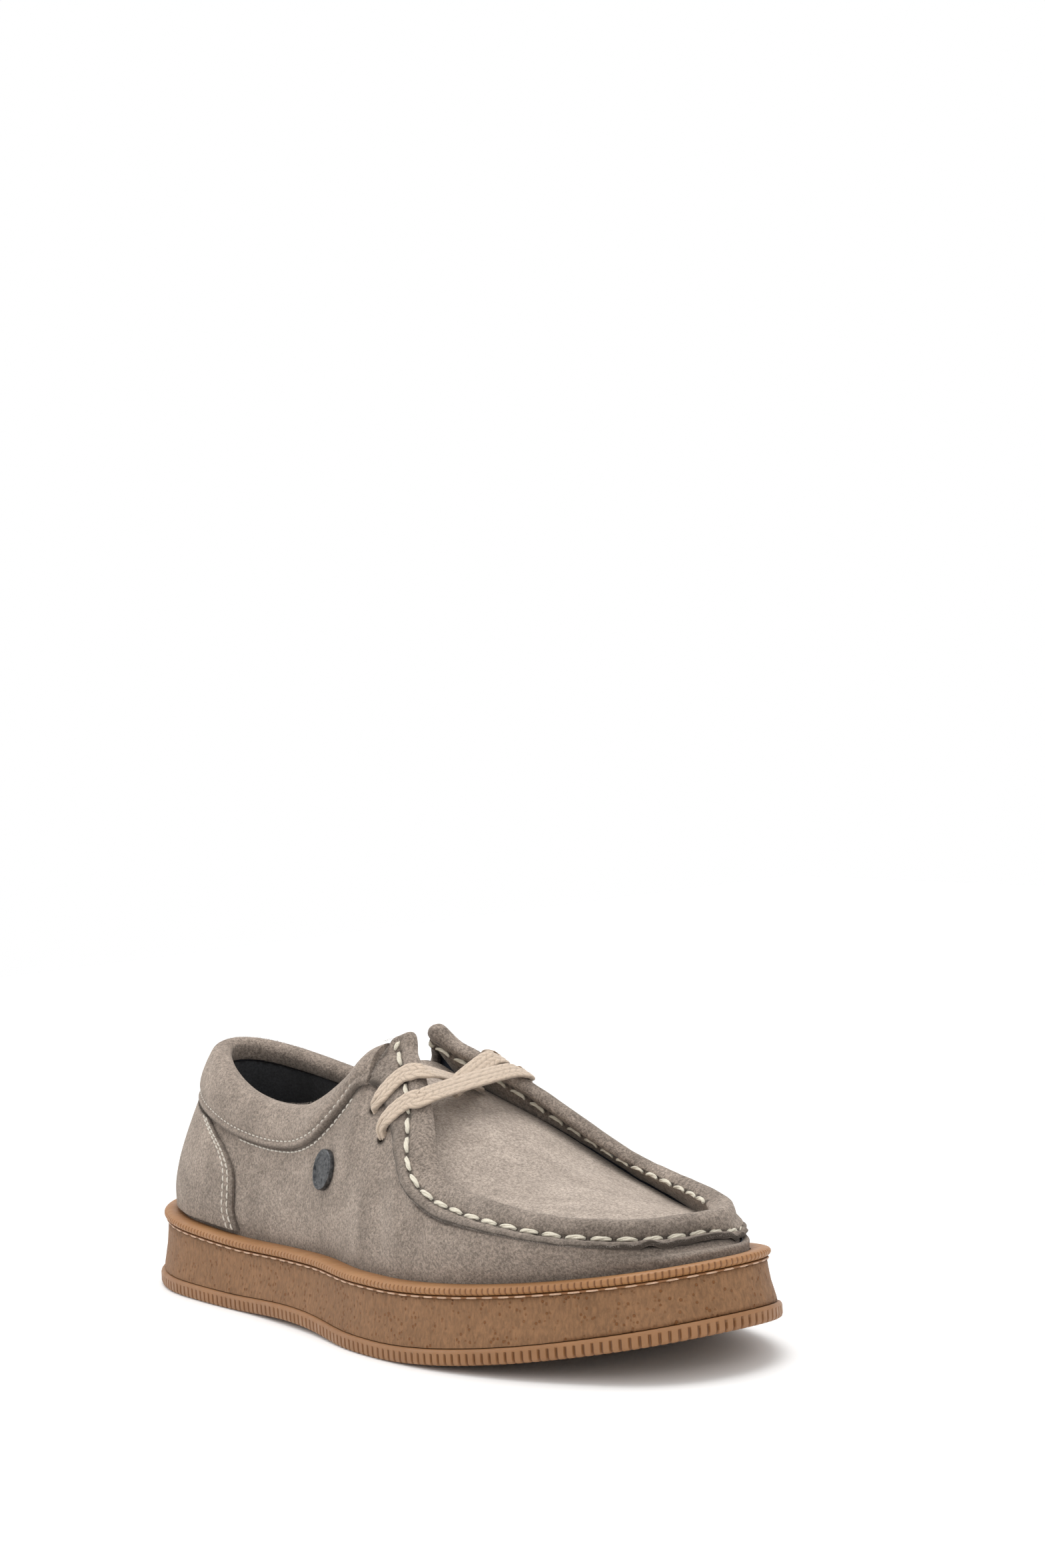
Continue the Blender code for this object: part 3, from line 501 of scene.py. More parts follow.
class Shape:
    """Points, faces and shading marks collected for one piece."""

    def __init__(self):
        self.points = []
        self.faces = []
        self.shade = []
        self.slots = []
        self.count = 0

    def add(self, points, faces, shade=0.0, slot=0):
        points = np.asarray(points, float).reshape(-1, 3)
        self.points.append(points)
        self.shade.append(np.broadcast_to(np.ravel(shade).astype(float), len(points)))
        self.faces += [tuple(k + self.count for k in f) for f in faces]
        self.slots += [slot] * len(faces)
        self.count += len(points)

    def add_grid(self, grid, around=False, along=False, shade=0.0, slot=0, flip=False, gone=None):
        """Quads over a grid of points; around and along close its first and second direction."""
        rows, cols = grid.shape[:2]
        faces = []
        for r in range(rows if around else rows - 1):
            for c in range(cols if along else cols - 1):
                n = (r + 1) % rows
                m = (c + 1) % cols
                if gone is not None and (gone[r, c] or gone[n, c] or gone[n, m] or gone[r, m]):
                    continue
                face = (r * cols + c, n * cols + c, n * cols + m, r * cols + m)
                faces.append(face[::-1] if flip else face)
        self.add(grid, faces, shade, slot)

    def add_tube(self, line, radius, sides=6, shade=0.0, flat=1.0, facing=None):
        """A round or flattened tube along a line, with closed ends; radius may be an array."""
        radius = np.broadcast_to(radius, len(line))
        ahead = unit(np.gradient(line, axis=0))
        wide = unit(np.cross(ahead, (0.0, 0.0, 1.0) if facing is None else facing))
        up = np.cross(wide, ahead)
        turn = np.linspace(0, 2 * math.pi, sides, endpoint=False)
        ring = (wide[:, None] * np.cos(turn)[None, :, None]
                + up[:, None] * np.sin(turn)[None, :, None] * flat) * radius[:, None, None]
        start = self.count
        self.add_grid(line[:, None] + ring, along=True, shade=shade)
        last = start + (len(line) - 1) * sides
        self.faces.append(tuple(start + k for k in range(sides)))
        self.faces.append(tuple(last + k for k in range(sides))[::-1])
        self.slots += [0, 0]

    def add_sides(self, top, low, shade):
        """Strips that join the four edges of two grids."""
        for a, b in ((top, low), (top.swapaxes(0, 1), low.swapaxes(0, 1))):
            for k in (0, -1):
                self.add_grid(np.stack([a[k], b[k]]), shade=shade)

    def add_fan(self, ring, middle, shade, closed=False):
        """Triangles from a line of points, or from a closed ring, to its middle."""
        count = len(ring)
        faces = [(n, (n + 1) % count, count) for n in range(count if closed else count - 1)]
        self.add(np.concatenate([ring, [middle]]), faces, shade)

    def piece(self, name, looks, replaces=(), smooth=50, merge=True):
        """Make the object, ride it on the one body and give it its finish."""
        mesh = bpy.data.meshes.new(name)
        points = np.concatenate(self.points)
        mesh.from_pydata(points.tolist(), [], self.faces)
        mark = mesh.attributes.new("shade", "FLOAT", "POINT")
        mark.data.foreach_set("value", np.concatenate(self.shade).astype(np.float32))
        mesh.polygons.foreach_set("material_index", self.slots)
        cleaned(mesh, mesh, smooth, merge)
        for look in (looks if isinstance(looks, (list, tuple)) else [looks]):
            mesh.materials.append(look)
        return dress(placed(name, mesh), replaces)


def cleaned(source, mesh, smooth, merge=True):
    """Fill a mesh from source, with doubled points joined, faces turned outward and shading rounded."""
    bm = bmesh.new()
    bm.from_mesh(source)
    if merge:
        bmesh.ops.remove_doubles(bm, verts=bm.verts, dist=1e-6)
    bmesh.ops.recalc_face_normals(bm, faces=bm.faces)
    bm.to_mesh(mesh)
    bm.free()
    mesh.shade_smooth()
    mesh.set_sharp_from_angle(angle=math.radians(smooth))


def placed(name, data):
    """A new object in the scene."""
    ob = bpy.data.objects.new(name, data)
    bpy.context.scene.collection.objects.link(ob)
    return ob


def dress(ob, replaces=()):
    """Ride an object on the one body and hide the solids it replaces."""
    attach(ob, "root")
    if replaces:
        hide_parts(*([replaces] if isinstance(replaces, str) else replaces))
    return ob


def rebuilt(node, name, look, smooth):
    """A solid of the frame with its triangles joined up again, under a detailed finish."""
    mesh = bpy.data.meshes.new(name)
    cleaned(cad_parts[node].data, mesh, smooth)
    mesh.materials.clear()
    mesh.materials.append(look)
    mesh.attributes.new("shade", "FLOAT", "POINT")
    return dress(placed(name, mesh), node)


# Finishes

class Look:
    """A procedural finish, built node by node."""

    def __init__(self, name, rough, metal=0.0, specular=0.5):
        self.mat = bpy.data.materials.new(name)
        self.mat.use_nodes = True
        self.tree = self.mat.node_tree
        self.bsdf = self.tree.nodes["Principled BSDF"]
        self.set("Roughness", rough)
        self.set("Metallic", metal)
        self.set("Specular IOR Level", specular)
        self.where = self.tree.nodes.new("ShaderNodeTexCoord").outputs["Object"]

    def set(self, socket, value):
        if hasattr(value, "node"):
            self.tree.links.new(value, self.bsdf.inputs[socket])
        else:
            self.bsdf.inputs[socket].default_value = value

    def make(self, kind, inputs, output=0, **props):
        node = self.tree.nodes.new("ShaderNode" + kind)
        for key, value in props.items():
            setattr(node, key, value)
        for key, value in inputs.items():
            if hasattr(value, "node"):
                self.tree.links.new(value, node.inputs[key])
            else:
                node.inputs[key].default_value = value
        return node.outputs[output]

    def noise(self, scale, detail=3.0, rough=0.55, warp=0.0, where=None):
        return self.make("TexNoise", {"Vector": where or self.where, "Scale": scale, "Detail": detail,
                                      "Roughness": rough, "Distortion": warp})

    def cells(self, scale):
        return self.make("TexVoronoi", {"Vector": self.where, "Scale": scale})

    def mark(self):
        """The shading mark that each point of a mesh carries."""
        return self.make("Attribute", {}, output=2, attribute_name="shade")

    def sum(self, kind, a, b):
        return self.make("Math", {0: a, 1: b}, operation=kind)

    def steps(self, value, low, high, out_low=0.0, out_high=1.0):
        return self.make("MapRange", {"Value": value, "From Min": low, "From Max": high,
                                      "To Min": out_low, "To Max": out_high})

    def mix(self, share, a, b):
        node = self.tree.nodes.new("ShaderNodeMix")
        node.data_type = "RGBA"
        for key, value in ((0, share), (6, a), (7, b)):
            if hasattr(value, "node"):
                self.tree.links.new(value, node.inputs[key])
            else:
                node.inputs[key].default_value = (*value, 1) if isinstance(value, tuple) and key else value
        return node.outputs[2]

    def scale(self, colour, by):
        return self.make("VectorMath", {0: colour, "Scale": by}, operation="SCALE")

    def bump(self, height, strength, distance):
        return self.make("Bump", {"Height": height, "Strength": strength, "Distance": distance})


def suede(name, base, dark, light, nap=1.0):
    """Brushed leather: cloudy colour, a nap of light and dark flecks, and painted shade where the mesh is
    marked.
    """
    look = Look(name, 0.95, specular=0.12)
    clouds = look.steps(look.noise(42, 4, 0.62, 0.8), 0.34, 0.66)
    colour = look.mix(clouds, dark, light)
    colour = look.mix(look.steps(look.noise(14, 2, 0.5, 0.3), 0.35, 0.68, 0.10, 0.55), colour, base)
    patch = look.steps(look.noise(170, 3, 0.6, 0.9), 0.32, 0.68, 0.92, 1.08)
    fleck = look.steps(look.noise(1150, 2, 0.75, 0.5), 0.36, 0.64, 1 - 0.36 * nap, 1 + 0.36 * nap)
    fine = look.steps(look.noise(2900, 2, 0.7), 0.34, 0.66, 0.86, 1.14)
    colour = look.scale(colour, look.sum("MULTIPLY", look.sum("MULTIPLY", patch, fleck), fine))
    # Painted shade: marked places go towards a dark tone
    colour = look.mix(look.mark(), colour, tuple(0.30 * c for c in dark))
    look.set("Base Color", colour)
    lumps = look.sum("MULTIPLY", look.noise(420, 3, 0.6), 1.1)
    height = look.sum("ADD", look.noise(1150, 2, 0.75, 0.5), lumps)
    look.set("Normal", look.bump(height, 0.60 * nap, 0.0006))
    look.set("Sheen Weight", 0.16)
    look.set("Sheen Roughness", 0.55)
    look.set("Sheen Tint", (0.85, 0.78, 0.70, 1))
    return look.mat


def gum(name, base, dark, shade_colour, rough, grain):
    """Moulded natural rubber, a little see-through, with painted shade in its slots that makes them darker
    and redder.
    """
    look = Look(name, rough, specular=0.4)
    colour = look.mix(look.steps(look.noise(60, 4, 0.6), 0.3, 0.7), base, dark)
    # Painted shade: slots and other marked places take the darker, redder shade colour
    colour = look.mix(look.mark(), colour, shade_colour)
    look.set("Base Color", colour)
    look.set("Roughness", look.steps(look.noise(240, 3), 0.3, 0.7, rough - 0.08, rough + 0.12))
    look.set("Normal", look.bump(look.noise(1400, 3, 0.6), grain, 0.0003))
    look.set("Subsurface Weight", 0.08)
    look.set("Subsurface Radius", (0.004, 0.0018, 0.0008))
    look.set("Subsurface Scale", 0.5)
    return look.mat


def speckled_gum(name):
    """The cup's side wall: matte gum with a short vertical grain, orange grains and pinholes."""
    look = Look(name, 0.66, specular=0.25)
    clouds = look.steps(look.noise(55, 4, 0.6), 0.3, 0.7)
    colour = look.mix(clouds, (0.240, 0.126, 0.061), (0.199, 0.103, 0.048))
    tall = look.make("Mapping", {"Vector": look.where, "Scale": (1.0, 1.0, 0.42)})
    grain = look.noise(900, 3, 0.65, 0.4, where=tall)
    colour = look.scale(colour, look.steps(grain, 0.34, 0.66, 0.80, 1.20))
    layers = []
    for cell_scale, low, high, patch_scale in ((500, 0.17, 0.29, 150), (290, 0.10, 0.18, 90)):
        spots = look.steps(look.cells(cell_scale), low, high, 1.0, 0.0)
        layers.append(look.sum("MULTIPLY", spots, look.steps(look.noise(patch_scale, 2), 0.42, 0.52)))
    dots = look.sum("MAXIMUM", *layers)
    colour = look.mix(look.sum("MULTIPLY", dots, 0.85), colour, (0.165, 0.060, 0.014))
    # Painted shade where the mesh is marked
    colour = look.mix(look.mark(), colour, (0.10, 0.045, 0.02))
    look.set("Base Color", colour)
    height = look.sum("SUBTRACT", grain, look.sum("MULTIPLY", dots, 0.9))
    look.set("Normal", look.bump(height, 0.65, 0.0006))
    return look.mat


def worm_gum(name):
    """The sunk field under the sole: darker gum moulded with short wandering ridges."""
    look = Look(name, 0.6, specular=0.3)
    worms = look.noise(300, 1.5, 0.5, 1.6)
    ridges = look.steps(look.sum("ABSOLUTE", look.sum("SUBTRACT", worms, 0.5), 0.0), 0.015, 0.060, 1.0, 0.0)
    # The ridges are lighter than the gum between them: painted shade between the ridges
    colour = look.mix(ridges, (0.175, 0.093, 0.043), (0.262, 0.146, 0.068))
    # Painted shade where the mesh is marked: the grooves round the bars
    colour = look.mix(look.mark(), colour, (0.07, 0.032, 0.014))
    look.set("Base Color", colour)
    look.set("Normal", look.bump(look.sum("ADD", ridges, look.noise(1500, 2)), 0.6, 0.0005))
    return look.mat


def thread(name, base, dark):
    """Twisted or woven fibre, with fine light and dark strands."""
    look = Look(name, 0.75, specular=0.25)
    fibre = look.noise(2600, 3, 0.6, 1.5)
    colour = look.mix(look.steps(fibre, 0.35, 0.65), dark, base)
    # Painted shade where the mesh is marked: at stitch ends and in a lace's gaps and fold
    colour = look.mix(look.mark(), colour, tuple(0.35 * c for c in dark))
    look.set("Base Color", colour)
    look.set("Normal", look.bump(fibre, 0.6, 0.0002))
    look.set("Sheen Weight", 0.2)
    return look.mat


def metal(name, base, dark):
    """Dull cast metal with dark specks."""
    look = Look(name, 0.42, 1.0)
    look.set("Base Color", look.mix(look.steps(look.noise(900, 3), 0.35, 0.65), base, dark))
    look.set("Normal", look.bump(look.noise(1600, 3), 0.35, 0.0002))
    return look.mat


def hide(name, base, dark, rough):
    """Lining leather with a fine grain."""
    look = Look(name, rough, specular=0.35)
    colour = look.mix(look.steps(look.noise(70, 4), 0.3, 0.7), base, dark)
    # Painted shade where the mesh is marked, such as the apron's underside
    colour = look.mix(look.mark(), colour, tuple(0.3 * c for c in dark))
    look.set("Base Color", colour)
    look.set("Normal", look.bump(look.cells(700), 0.3, 0.0003))
    return look.mat


SUEDE = suede("suede", (0.247, 0.200, 0.165), (0.186, 0.150, 0.123), (0.306, 0.251, 0.209))
APRON_SUEDE = suede("apron_suede", (0.348, 0.290, 0.245), (0.285, 0.236, 0.198), (0.405, 0.341, 0.290), 0.80)
SEAM_SUEDE = suede("seam_suede", (0.246, 0.201, 0.167), (0.180, 0.146, 0.120), (0.312, 0.258, 0.216), 1.1)
WELT_GUM = gum("welt_gum", (0.330, 0.162, 0.063), (0.285, 0.134, 0.050), (0.150, 0.058, 0.018), 0.46, 0.15)
BAND_GUM = gum("band_gum", (0.290, 0.143, 0.060), (0.244, 0.117, 0.048), (0.120, 0.045, 0.014), 0.48, 0.2)
WALL_GUM = speckled_gum("wall_gum")
FIELD_GUM = worm_gum("field_gum")
FIBRE = thread("suede_fibre", (0.42, 0.36, 0.31), (0.28, 0.235, 0.20))
OFF_WHITE = thread("off_white_thread", (0.76, 0.71, 0.59), (0.56, 0.51, 0.41))
FINE_THREAD = thread("fine_thread", (0.66, 0.62, 0.55), (0.52, 0.47, 0.40))
ORANGE_THREAD = thread("orange_thread", (0.66, 0.46, 0.33), (0.46, 0.29, 0.18))
COTTON = thread("lace_cotton", (0.62, 0.50, 0.395), (0.46, 0.36, 0.27))
NAVY = hide("navy_leather", (0.066, 0.072, 0.092), (0.044, 0.049, 0.064), 0.55)
HEEL_GREY = suede("heel_grey_suede", (0.052, 0.054, 0.058), (0.036, 0.038, 0.041), (0.070, 0.072, 0.077), 0.7)
GUNMETAL = metal("gunmetal", (0.13, 0.132, 0.135), (0.045, 0.047, 0.050))


# Suede pieces

CREASES = [
    # side, angle, level, reach round, reach up, tilt, depth in metres
    (-1, 74.0, 4.6, 2.2, 1.5, 0.5, -0.0007),
    (-1, 80.0, 3.2, 1.4, 2.0, 0.3, -0.0005),
    (-1, 91.0, 2.4, 0.8, 1.8, 0.1, -0.0006),
    (-1, 96.5, 2.2, 1.0, 1.6, 0.0, 0.0006),
    (-1, 102.0, 2.6, 0.8, 1.8, -0.2, -0.0007),
    (-1, 107.0, 3.0, 1.0, 1.6, -0.3, 0.0006),
    (-1, 112.0, 2.6, 0.9, 1.5, -0.3, -0.0006),
    (-1, 120.0, 2.8, 1.4, 1.0, -0.2, 0.0005),
    (-1, 132.0, 2.6, 1.6, 1.0, 0.0, -0.0005),
    (-1, 48.0, 2.2, 1.6, 1.2, 0.4, -0.0006),
    (-1, 24.0, 3.0, 1.8, 1.2, -0.2, -0.0006),
    (1, 24.0, 3.2, 1.8, 1.2, 0.2, -0.0006),
    (1, 60.0, 3.0, 1.8, 1.6, 0.3, -0.0006),
    (1, 78.0, 4.2, 1.6, 1.6, 0.4, -0.0007),
    (1, 92.0, 2.4, 1.0, 1.8, 0.1, -0.0006),
    (1, 104.0, 2.8, 1.0, 1.6, -0.2, -0.0007),
    (1, 112.0, 2.6, 1.0, 1.4, -0.3, 0.0006),
    (1, 126.0, 2.6, 1.6, 1.0, 0.0, -0.0005),
]


def folds(column, level):
    """How far the soft creases lift or sink the suede at each place."""
    total = np.zeros(np.broadcast(column, level).shape)
    for side, angle, height, reach, rise, tilt, depth in CREASES:
        du = (column - column_of(angle, side) + AROUND / 2) % AROUND - AROUND / 2
        dv = level - height
        total += depth * np.exp(-((du - tilt * dv) / reach) ** 2 - (dv / rise) ** 2)
    return total


STITCH_LEVEL = [
    # column from the heel, level of the thick stitches outside, level of the flange's lower edge
    (15.0, 6.95, 6.00),
    (19.0, 6.83, 6.03),
    (20.8, 6.68, 5.78),
    (22.5, 6.44, 5.60),
    (24.5, 6.50, 5.88),
    (26.5, 6.74, 6.05),
    (28.5, 6.87, 5.98),
    (30.5, 6.78, 5.62),
    (32.5, 6.96, 5.42),
    (34.5, 7.02, 5.10),
    (37.0, 7.00, 4.85),
    (39.0, 7.12, 4.80),
]
RIDGE_TOP = [
    # column from the heel, level where the suede ends under the ridge
    (14.6, 8.00),
    (15.6, 7.86),
    (17.0, 7.62),
    (20.5, 7.62),
    (23.5, 7.95),
    (26.0, 8.00),
    (39.0, 8.00),
]

# The thick stitches, and how far forward the inner ones reach
MOC_PITCH = 0.0078
MOC_LENGTH = 0.0062
MOC_RADIUS = 0.0008
MOC_RISE = 0.0006
INNER_END = 0.1130

# Level above which the upper is squeezed in under the ridge, and the column of the tabs' rear edge
SQUEEZE_START = 6.2
TAB_EDGE = TAB_COLUMN + 0.55

# The collar's dip behind each tab, in levels, and the columns where it starts, is full, fades and ends
COLLAR_DIP = 0.42
DIP_COLUMNS = (12.8, 15.1, 15.7, 16.3)

# The stitch table's columns, the levels that each dips by at the toe's inner corner, and the dip's reach
STITCH, HEM = 1, 2
CORNER_DIP = {STITCH: 1.45, HEM: 0.90}
CORNER_DIP_REACH = 1.9

# Half way into the suede, where suede and lining meet at the top, and the strip inside the lining's foot
MIDWALL = -WALL * 0.5
SILL_WIDTH = 0.0050
SILL_DROP = 0.0006

# Levels of the fine stitches round the collar, of those under its pad, and of the pad's lower edge
COLLAR_STITCH = 6.30
UNDER_STITCH = 5.84
PAD_FOOT = 5.98

# The fine stitches, and how far a stitch pulls the suede in
FINE_PITCH = 0.0027
FINE_LENGTH = 0.0021
FINE_RADIUS = 0.00030
STITCH_PULL = 0.00045


def ridge_top(column):
    """Level where the suede ends under the ridge."""
    keys, levels = zip(*RIDGE_TOP)
    return np.interp(from_heel(column), keys, levels)


def capped(column, level):
    """Levels of the upper squeezed so that it ends inside the ridge, and dips behind each tab."""
    half = from_heel(column)
    start, full, fade, end = DIP_COLUMNS
    dip = COLLAR_DIP * ease(start, full, half) * (1 - ease(fade, end, half))
    share = (level - SQUEEZE_START) / (LEVELS - SQUEEZE_START)
    squeezed = SQUEEZE_START + share * (ridge_top(column) - dip - SQUEEZE_START)
    return np.where(level > SQUEEZE_START, squeezed, level)


def by_column(column, which):
    """Level of the stitches or the hem at columns on either side, with the dip at the toe's inner corner."""
    keys = np.linspace(STITCH_LEVEL[0][0], STITCH_LEVEL[-1][0], 97)
    vals = [read(STITCH_LEVEL, k, which) for k in keys]
    dip = CORNER_DIP[which] * toe_corner(column, CORNER_DIP_REACH)
    return np.interp(from_heel(column), keys, vals) - dip


def open_holes(grid, spots, radius):
    """Marks the points inside each eyelet and draws their neighbours in to its round edge."""
    gone = np.zeros(grid.shape[:2], bool)
    for spot, normal in spots:
        away = grid - spot
        away -= (away @ normal)[..., None] * normal
        far = np.linalg.norm(grid - spot, axis=2)
        inside = far < radius
        beside = np.zeros_like(inside)
        for dr in (-1, 0, 1):
            for dc in (-1, 0, 1):
                beside |= np.roll(np.roll(inside, dr, axis=0), dc, axis=1)
        beside &= ~inside
        flat = np.linalg.norm(away, axis=2)
        move = away * (radius / (flat + 1e-9) - 1)[..., None]
        grid[beside] += move[beside]
        gone |= inside
    return gone


def skin_grid(per, low_rows, middle_rows, top_rows):
    """Columns and levels over the whole upper, with per steps a column and closer rows higher up."""
    levels = np.concatenate([np.linspace(0, 4.4, low_rows, endpoint=False),
                             np.linspace(4.4, SQUEEZE_START, middle_rows, endpoint=False),
                             np.linspace(SQUEEZE_START, LEVELS, top_rows)])
    col, lev = np.meshgrid(np.arange(AROUND * per) / per, levels, indexing="ij")
    return col, capped(col, lev)


def punched():
    """The middle of each eyelet on the upper, and how the leather faces there."""
    return [surf(column_of(angle, side), level, frame_too=True) for side, angle, level in EYELETS]


def suede_shade(col, lev, points):
    """Darker suede at the foot and at the toe's side, painted shadow under the flange's hem and painted shade
    in the eyelets.
    """
    half = from_heel(col)
    low = 0.22 * (1 - ease(1.0, 1.5, lev)) + 0.22 * ease(29, 35, half) * (lev < 6)
    hem = np.where(half > TAB_COLUMN, by_column(col, HEM), 6.0)
    # Painted shadow just under the flange's hem
    contact = 0.42 * ease(hem - 0.26, hem - 0.02, lev)
    far = np.min([np.linalg.norm(points - spot, axis=2) for spot, _ in punched()], axis=0)
    # Painted shade in and round each eyelet
    hole = 0.8 * (1 - ease(EYELET_RADIUS, EYELET_RADIUS * 1.7, far))
    return np.maximum(np.maximum(low, contact), hole)


def make_upper_suede():
    """Quarters and vamp wall, with soft creases and two punched eyelets a side."""
    uneven = 0.00022
    hollow = 0.0016
    col, lev = skin_grid(8, 39, 28, 16)
    fade = ease(1.0, 2.0, lev) * (1 - ease(5.2, 6.0, lev))
    lift = fade * (folds(col, lev) + uneven * noise_at(surf(col, lev), 90))
    toe_side = ease(31, 36, from_heel(col)) * np.exp(-((lev - 3.8) / 1.5) ** 2)
    points = surf(col, lev, lift - hollow * toe_side)
    gone = open_holes(points, punched(), EYELET_RADIUS)
    shape = Shape()
    shape.add_grid(points, around=True, shade=suede_shade(col, lev, points), gone=gone)
    inside = surf(col[:, -1], lev[:, -1], MIDWALL)
    # Painted shade on the strip inside the top edge
    shape.add_grid(np.stack([points[:, -1], inside], axis=1), around=True, shade=0.2)
    depths = np.array([0.0003, -WALL * 0.4, -WALL])
    # Each eyelet's wall, with painted shade
    for spot, normal in punched():
        side = unit(np.cross(normal, [0, 0, 1.0]))
        ring = ring_of(side, np.cross(side, normal), 32) * EYELET_RADIUS
        shape.add_grid(spot + ring[:, None] + normal * depths[None, :, None], around=True, shade=0.85)
    shape.piece("suede_upper", SUEDE, "upper")


def make_lining():
    """The leather inside, open at the eyelets, with a strip at its foot that covers the cup's edge."""
    col, lev = skin_grid(6, 22, 21, 10)
    points = surf(col, lev, -WALL)
    gone = open_holes(points, [(spot - normal * WALL, normal) for spot, normal in punched()], EYELET_RADIUS)
    lining = Shape()
    lining.add_grid(points, around=True, flip=True, gone=gone)
    edge = surf(col[:, -1], lev[:, -1], MIDWALL)
    lining.add_grid(np.stack([points[:, -1], edge], axis=1), around=True)
    foot = surf(col[:, 0], 0.0, -WALL)
    sill = surf(col[:, 0], 0.0, -WALL - SILL_WIDTH) - np.array([0, 0, SILL_DROP])
    lining.add_grid(np.stack([foot, sill], axis=1), around=True, flip=True)
    lining.piece("lining", NAVY)


def make_heel_lining():
    """The grey patch over the lining at the back of the heel, thinner at its two ends."""
    ends = 8.6
    low, high = 2.4, 7.3
    thick, thinned = 0.0008, 0.0005
    col, lev = np.meshgrid(np.linspace(-ends, ends, 121), np.linspace(low, high, 41), indexing="ij")
    rim = ease(0.97, 1.0, np.abs(col) / ends)
    top = surf(col, lev, -WALL - thick + thinned * rim)
    patch = Shape()
    # Painted shade along the patch's edges and on its sides
    patch.add_grid(top, shade=0.4 * rim)
    patch.add_sides(top, surf(col, lev, -WALL - 0.0001), 0.6)
    patch.piece("heel_lining_patch", HEEL_GREY)


def make_collar_pad():
    """The puffed band round the ankle, drawn in at its row of fine stitches."""
    gap = LAP_GAP
    inside = -(WALL + gap)
    last = TAB_EDGE - 0.10
    profile = [
        # level, lift, past
        (6.04, gap * 0.3, 0.0),
        (PAD_FOOT, gap + 0.0008, 0.0),
        (6.05, gap + 0.0017, 0.0),
        (6.28, gap + 0.0021, 0.0),
        (6.60, gap + 0.0030, 0.0),
        (7.00, gap + 0.0033, 0.0),
        (7.60, gap + 0.0028, 0.0),
        (8.00, gap + 0.0017, gap),
        (8.00, MIDWALL, gap + 0.0017),
        (8.00, inside - 0.0012, gap),
        (7.50, inside - 0.0013, 0.0),
        (7.42, inside + 0.0002, 0.0),
    ]
    line = smooth_line(profile, 5)
    col, k = np.meshgrid(np.linspace(-last, last, 31 * 8 + 1), np.arange(len(line)), indexing="ij")
    level, lift, past = (line[k, n] for n in range(3))
    level = capped(col, level)
    near_stitch = np.exp(-((level - COLLAR_STITCH) / 0.09) ** 2) * (lift > gap)
    points = surf(col, level, lift - STITCH_PULL * near_stitch, past)
    # Painted shade along the pad's lower edge, where its stitches pull it in, and on its two ends
    shade = 0.55 * (1 - ease(PAD_FOOT, 6.16, level)) * (lift > 0) + 0.25 * near_stitch
    band = Shape()
    band.add_grid(points, shade=np.clip(shade, 0, 1))
    for end in (points[0], points[-1]):
        band.add_fan(end, end.mean(axis=0), 0.3)
    pad = band.piece("collar_pad", SUEDE, "collar")


def path_on_skin(col, lev, lift, past=0.0):
    """Points and facings along a line over the upper, with the length run so far."""
    points, normals = surf(col, lev, lift, past, True)
    return points, normals, run_along(points)


def stitches_along(path, pitch, length):
    """Where each stitch of a row comes up, where it goes down, and how the leather faces there."""
    points, normals, run = path
    count = int(run[-1] / pitch)
    middles = (np.arange(count) + 0.5) * run[-1] / count
    ups = at_run(middles - length / 2, run, points)
    downs = at_run(middles + length / 2, run, points)
    return list(zip(ups, downs, unit(at_run(middles, run, normals))))


def moc_rows():
    """The thick stitches outside the ridge and those inside it, which climb onto its roll towards the toe."""
    col = np.linspace(TAB_COLUMN + 1.0, AROUND - TAB_COLUMN - 1.0, 2400)
    outside = path_on_skin(col, by_column(col, STITCH), LAP_GAP + SEAM * 0.75)
    up = ease(22.0, 30.0, from_heel(col))
    low_level = 7.10
    low_lift = -(WALL + LAP_GAP * 2.1)
    high_lift = -WALL * 0.85
    inside = path_on_skin(col, low_level + (ridge_top(col) - low_level) * up,
                          low_lift + (high_lift - low_lift) * up, (LAP_GAP + SEAM * 0.85) * up)
    inner = stitches_along(inside, MOC_PITCH, MOC_LENGTH * 0.92)
    return stitches_along(outside, MOC_PITCH, MOC_LENGTH), [row for row in inner if row[0][0] < INNER_END]


def nearness(points, row, reach):
    """1 at the nearest hole of a row of stitches and 0 beyond reach, for every point of a grid."""
    tree = tree_of([hole for up, down, _ in row for hole in (up, down)])
    far = np.array([tree.find(Vector(p))[2] for p in points.reshape(-1, 3)])
    return np.clip(1 - far.reshape(points.shape[:-1]) / reach, 0, 1)


# The ridge's section: rows to each step of its profile, and the last row of its outer face
RIDGE_STEPS = 4
LAST_OUTER = 22

# How far round an outer and an inner stitch hole the suede is drawn in and carries painted shade
HOLE_REACHES = (0.0030, 0.0028)

# The tabs' tips, as column from the heel and rise, and how far the roll leans out at the toe's inner corner
TIP_COLUMN = 16.2
TIP_RISE = 0.0022
ROLL_OVER = np.array([0.595, 0.80, -0.10]) * 0.0028


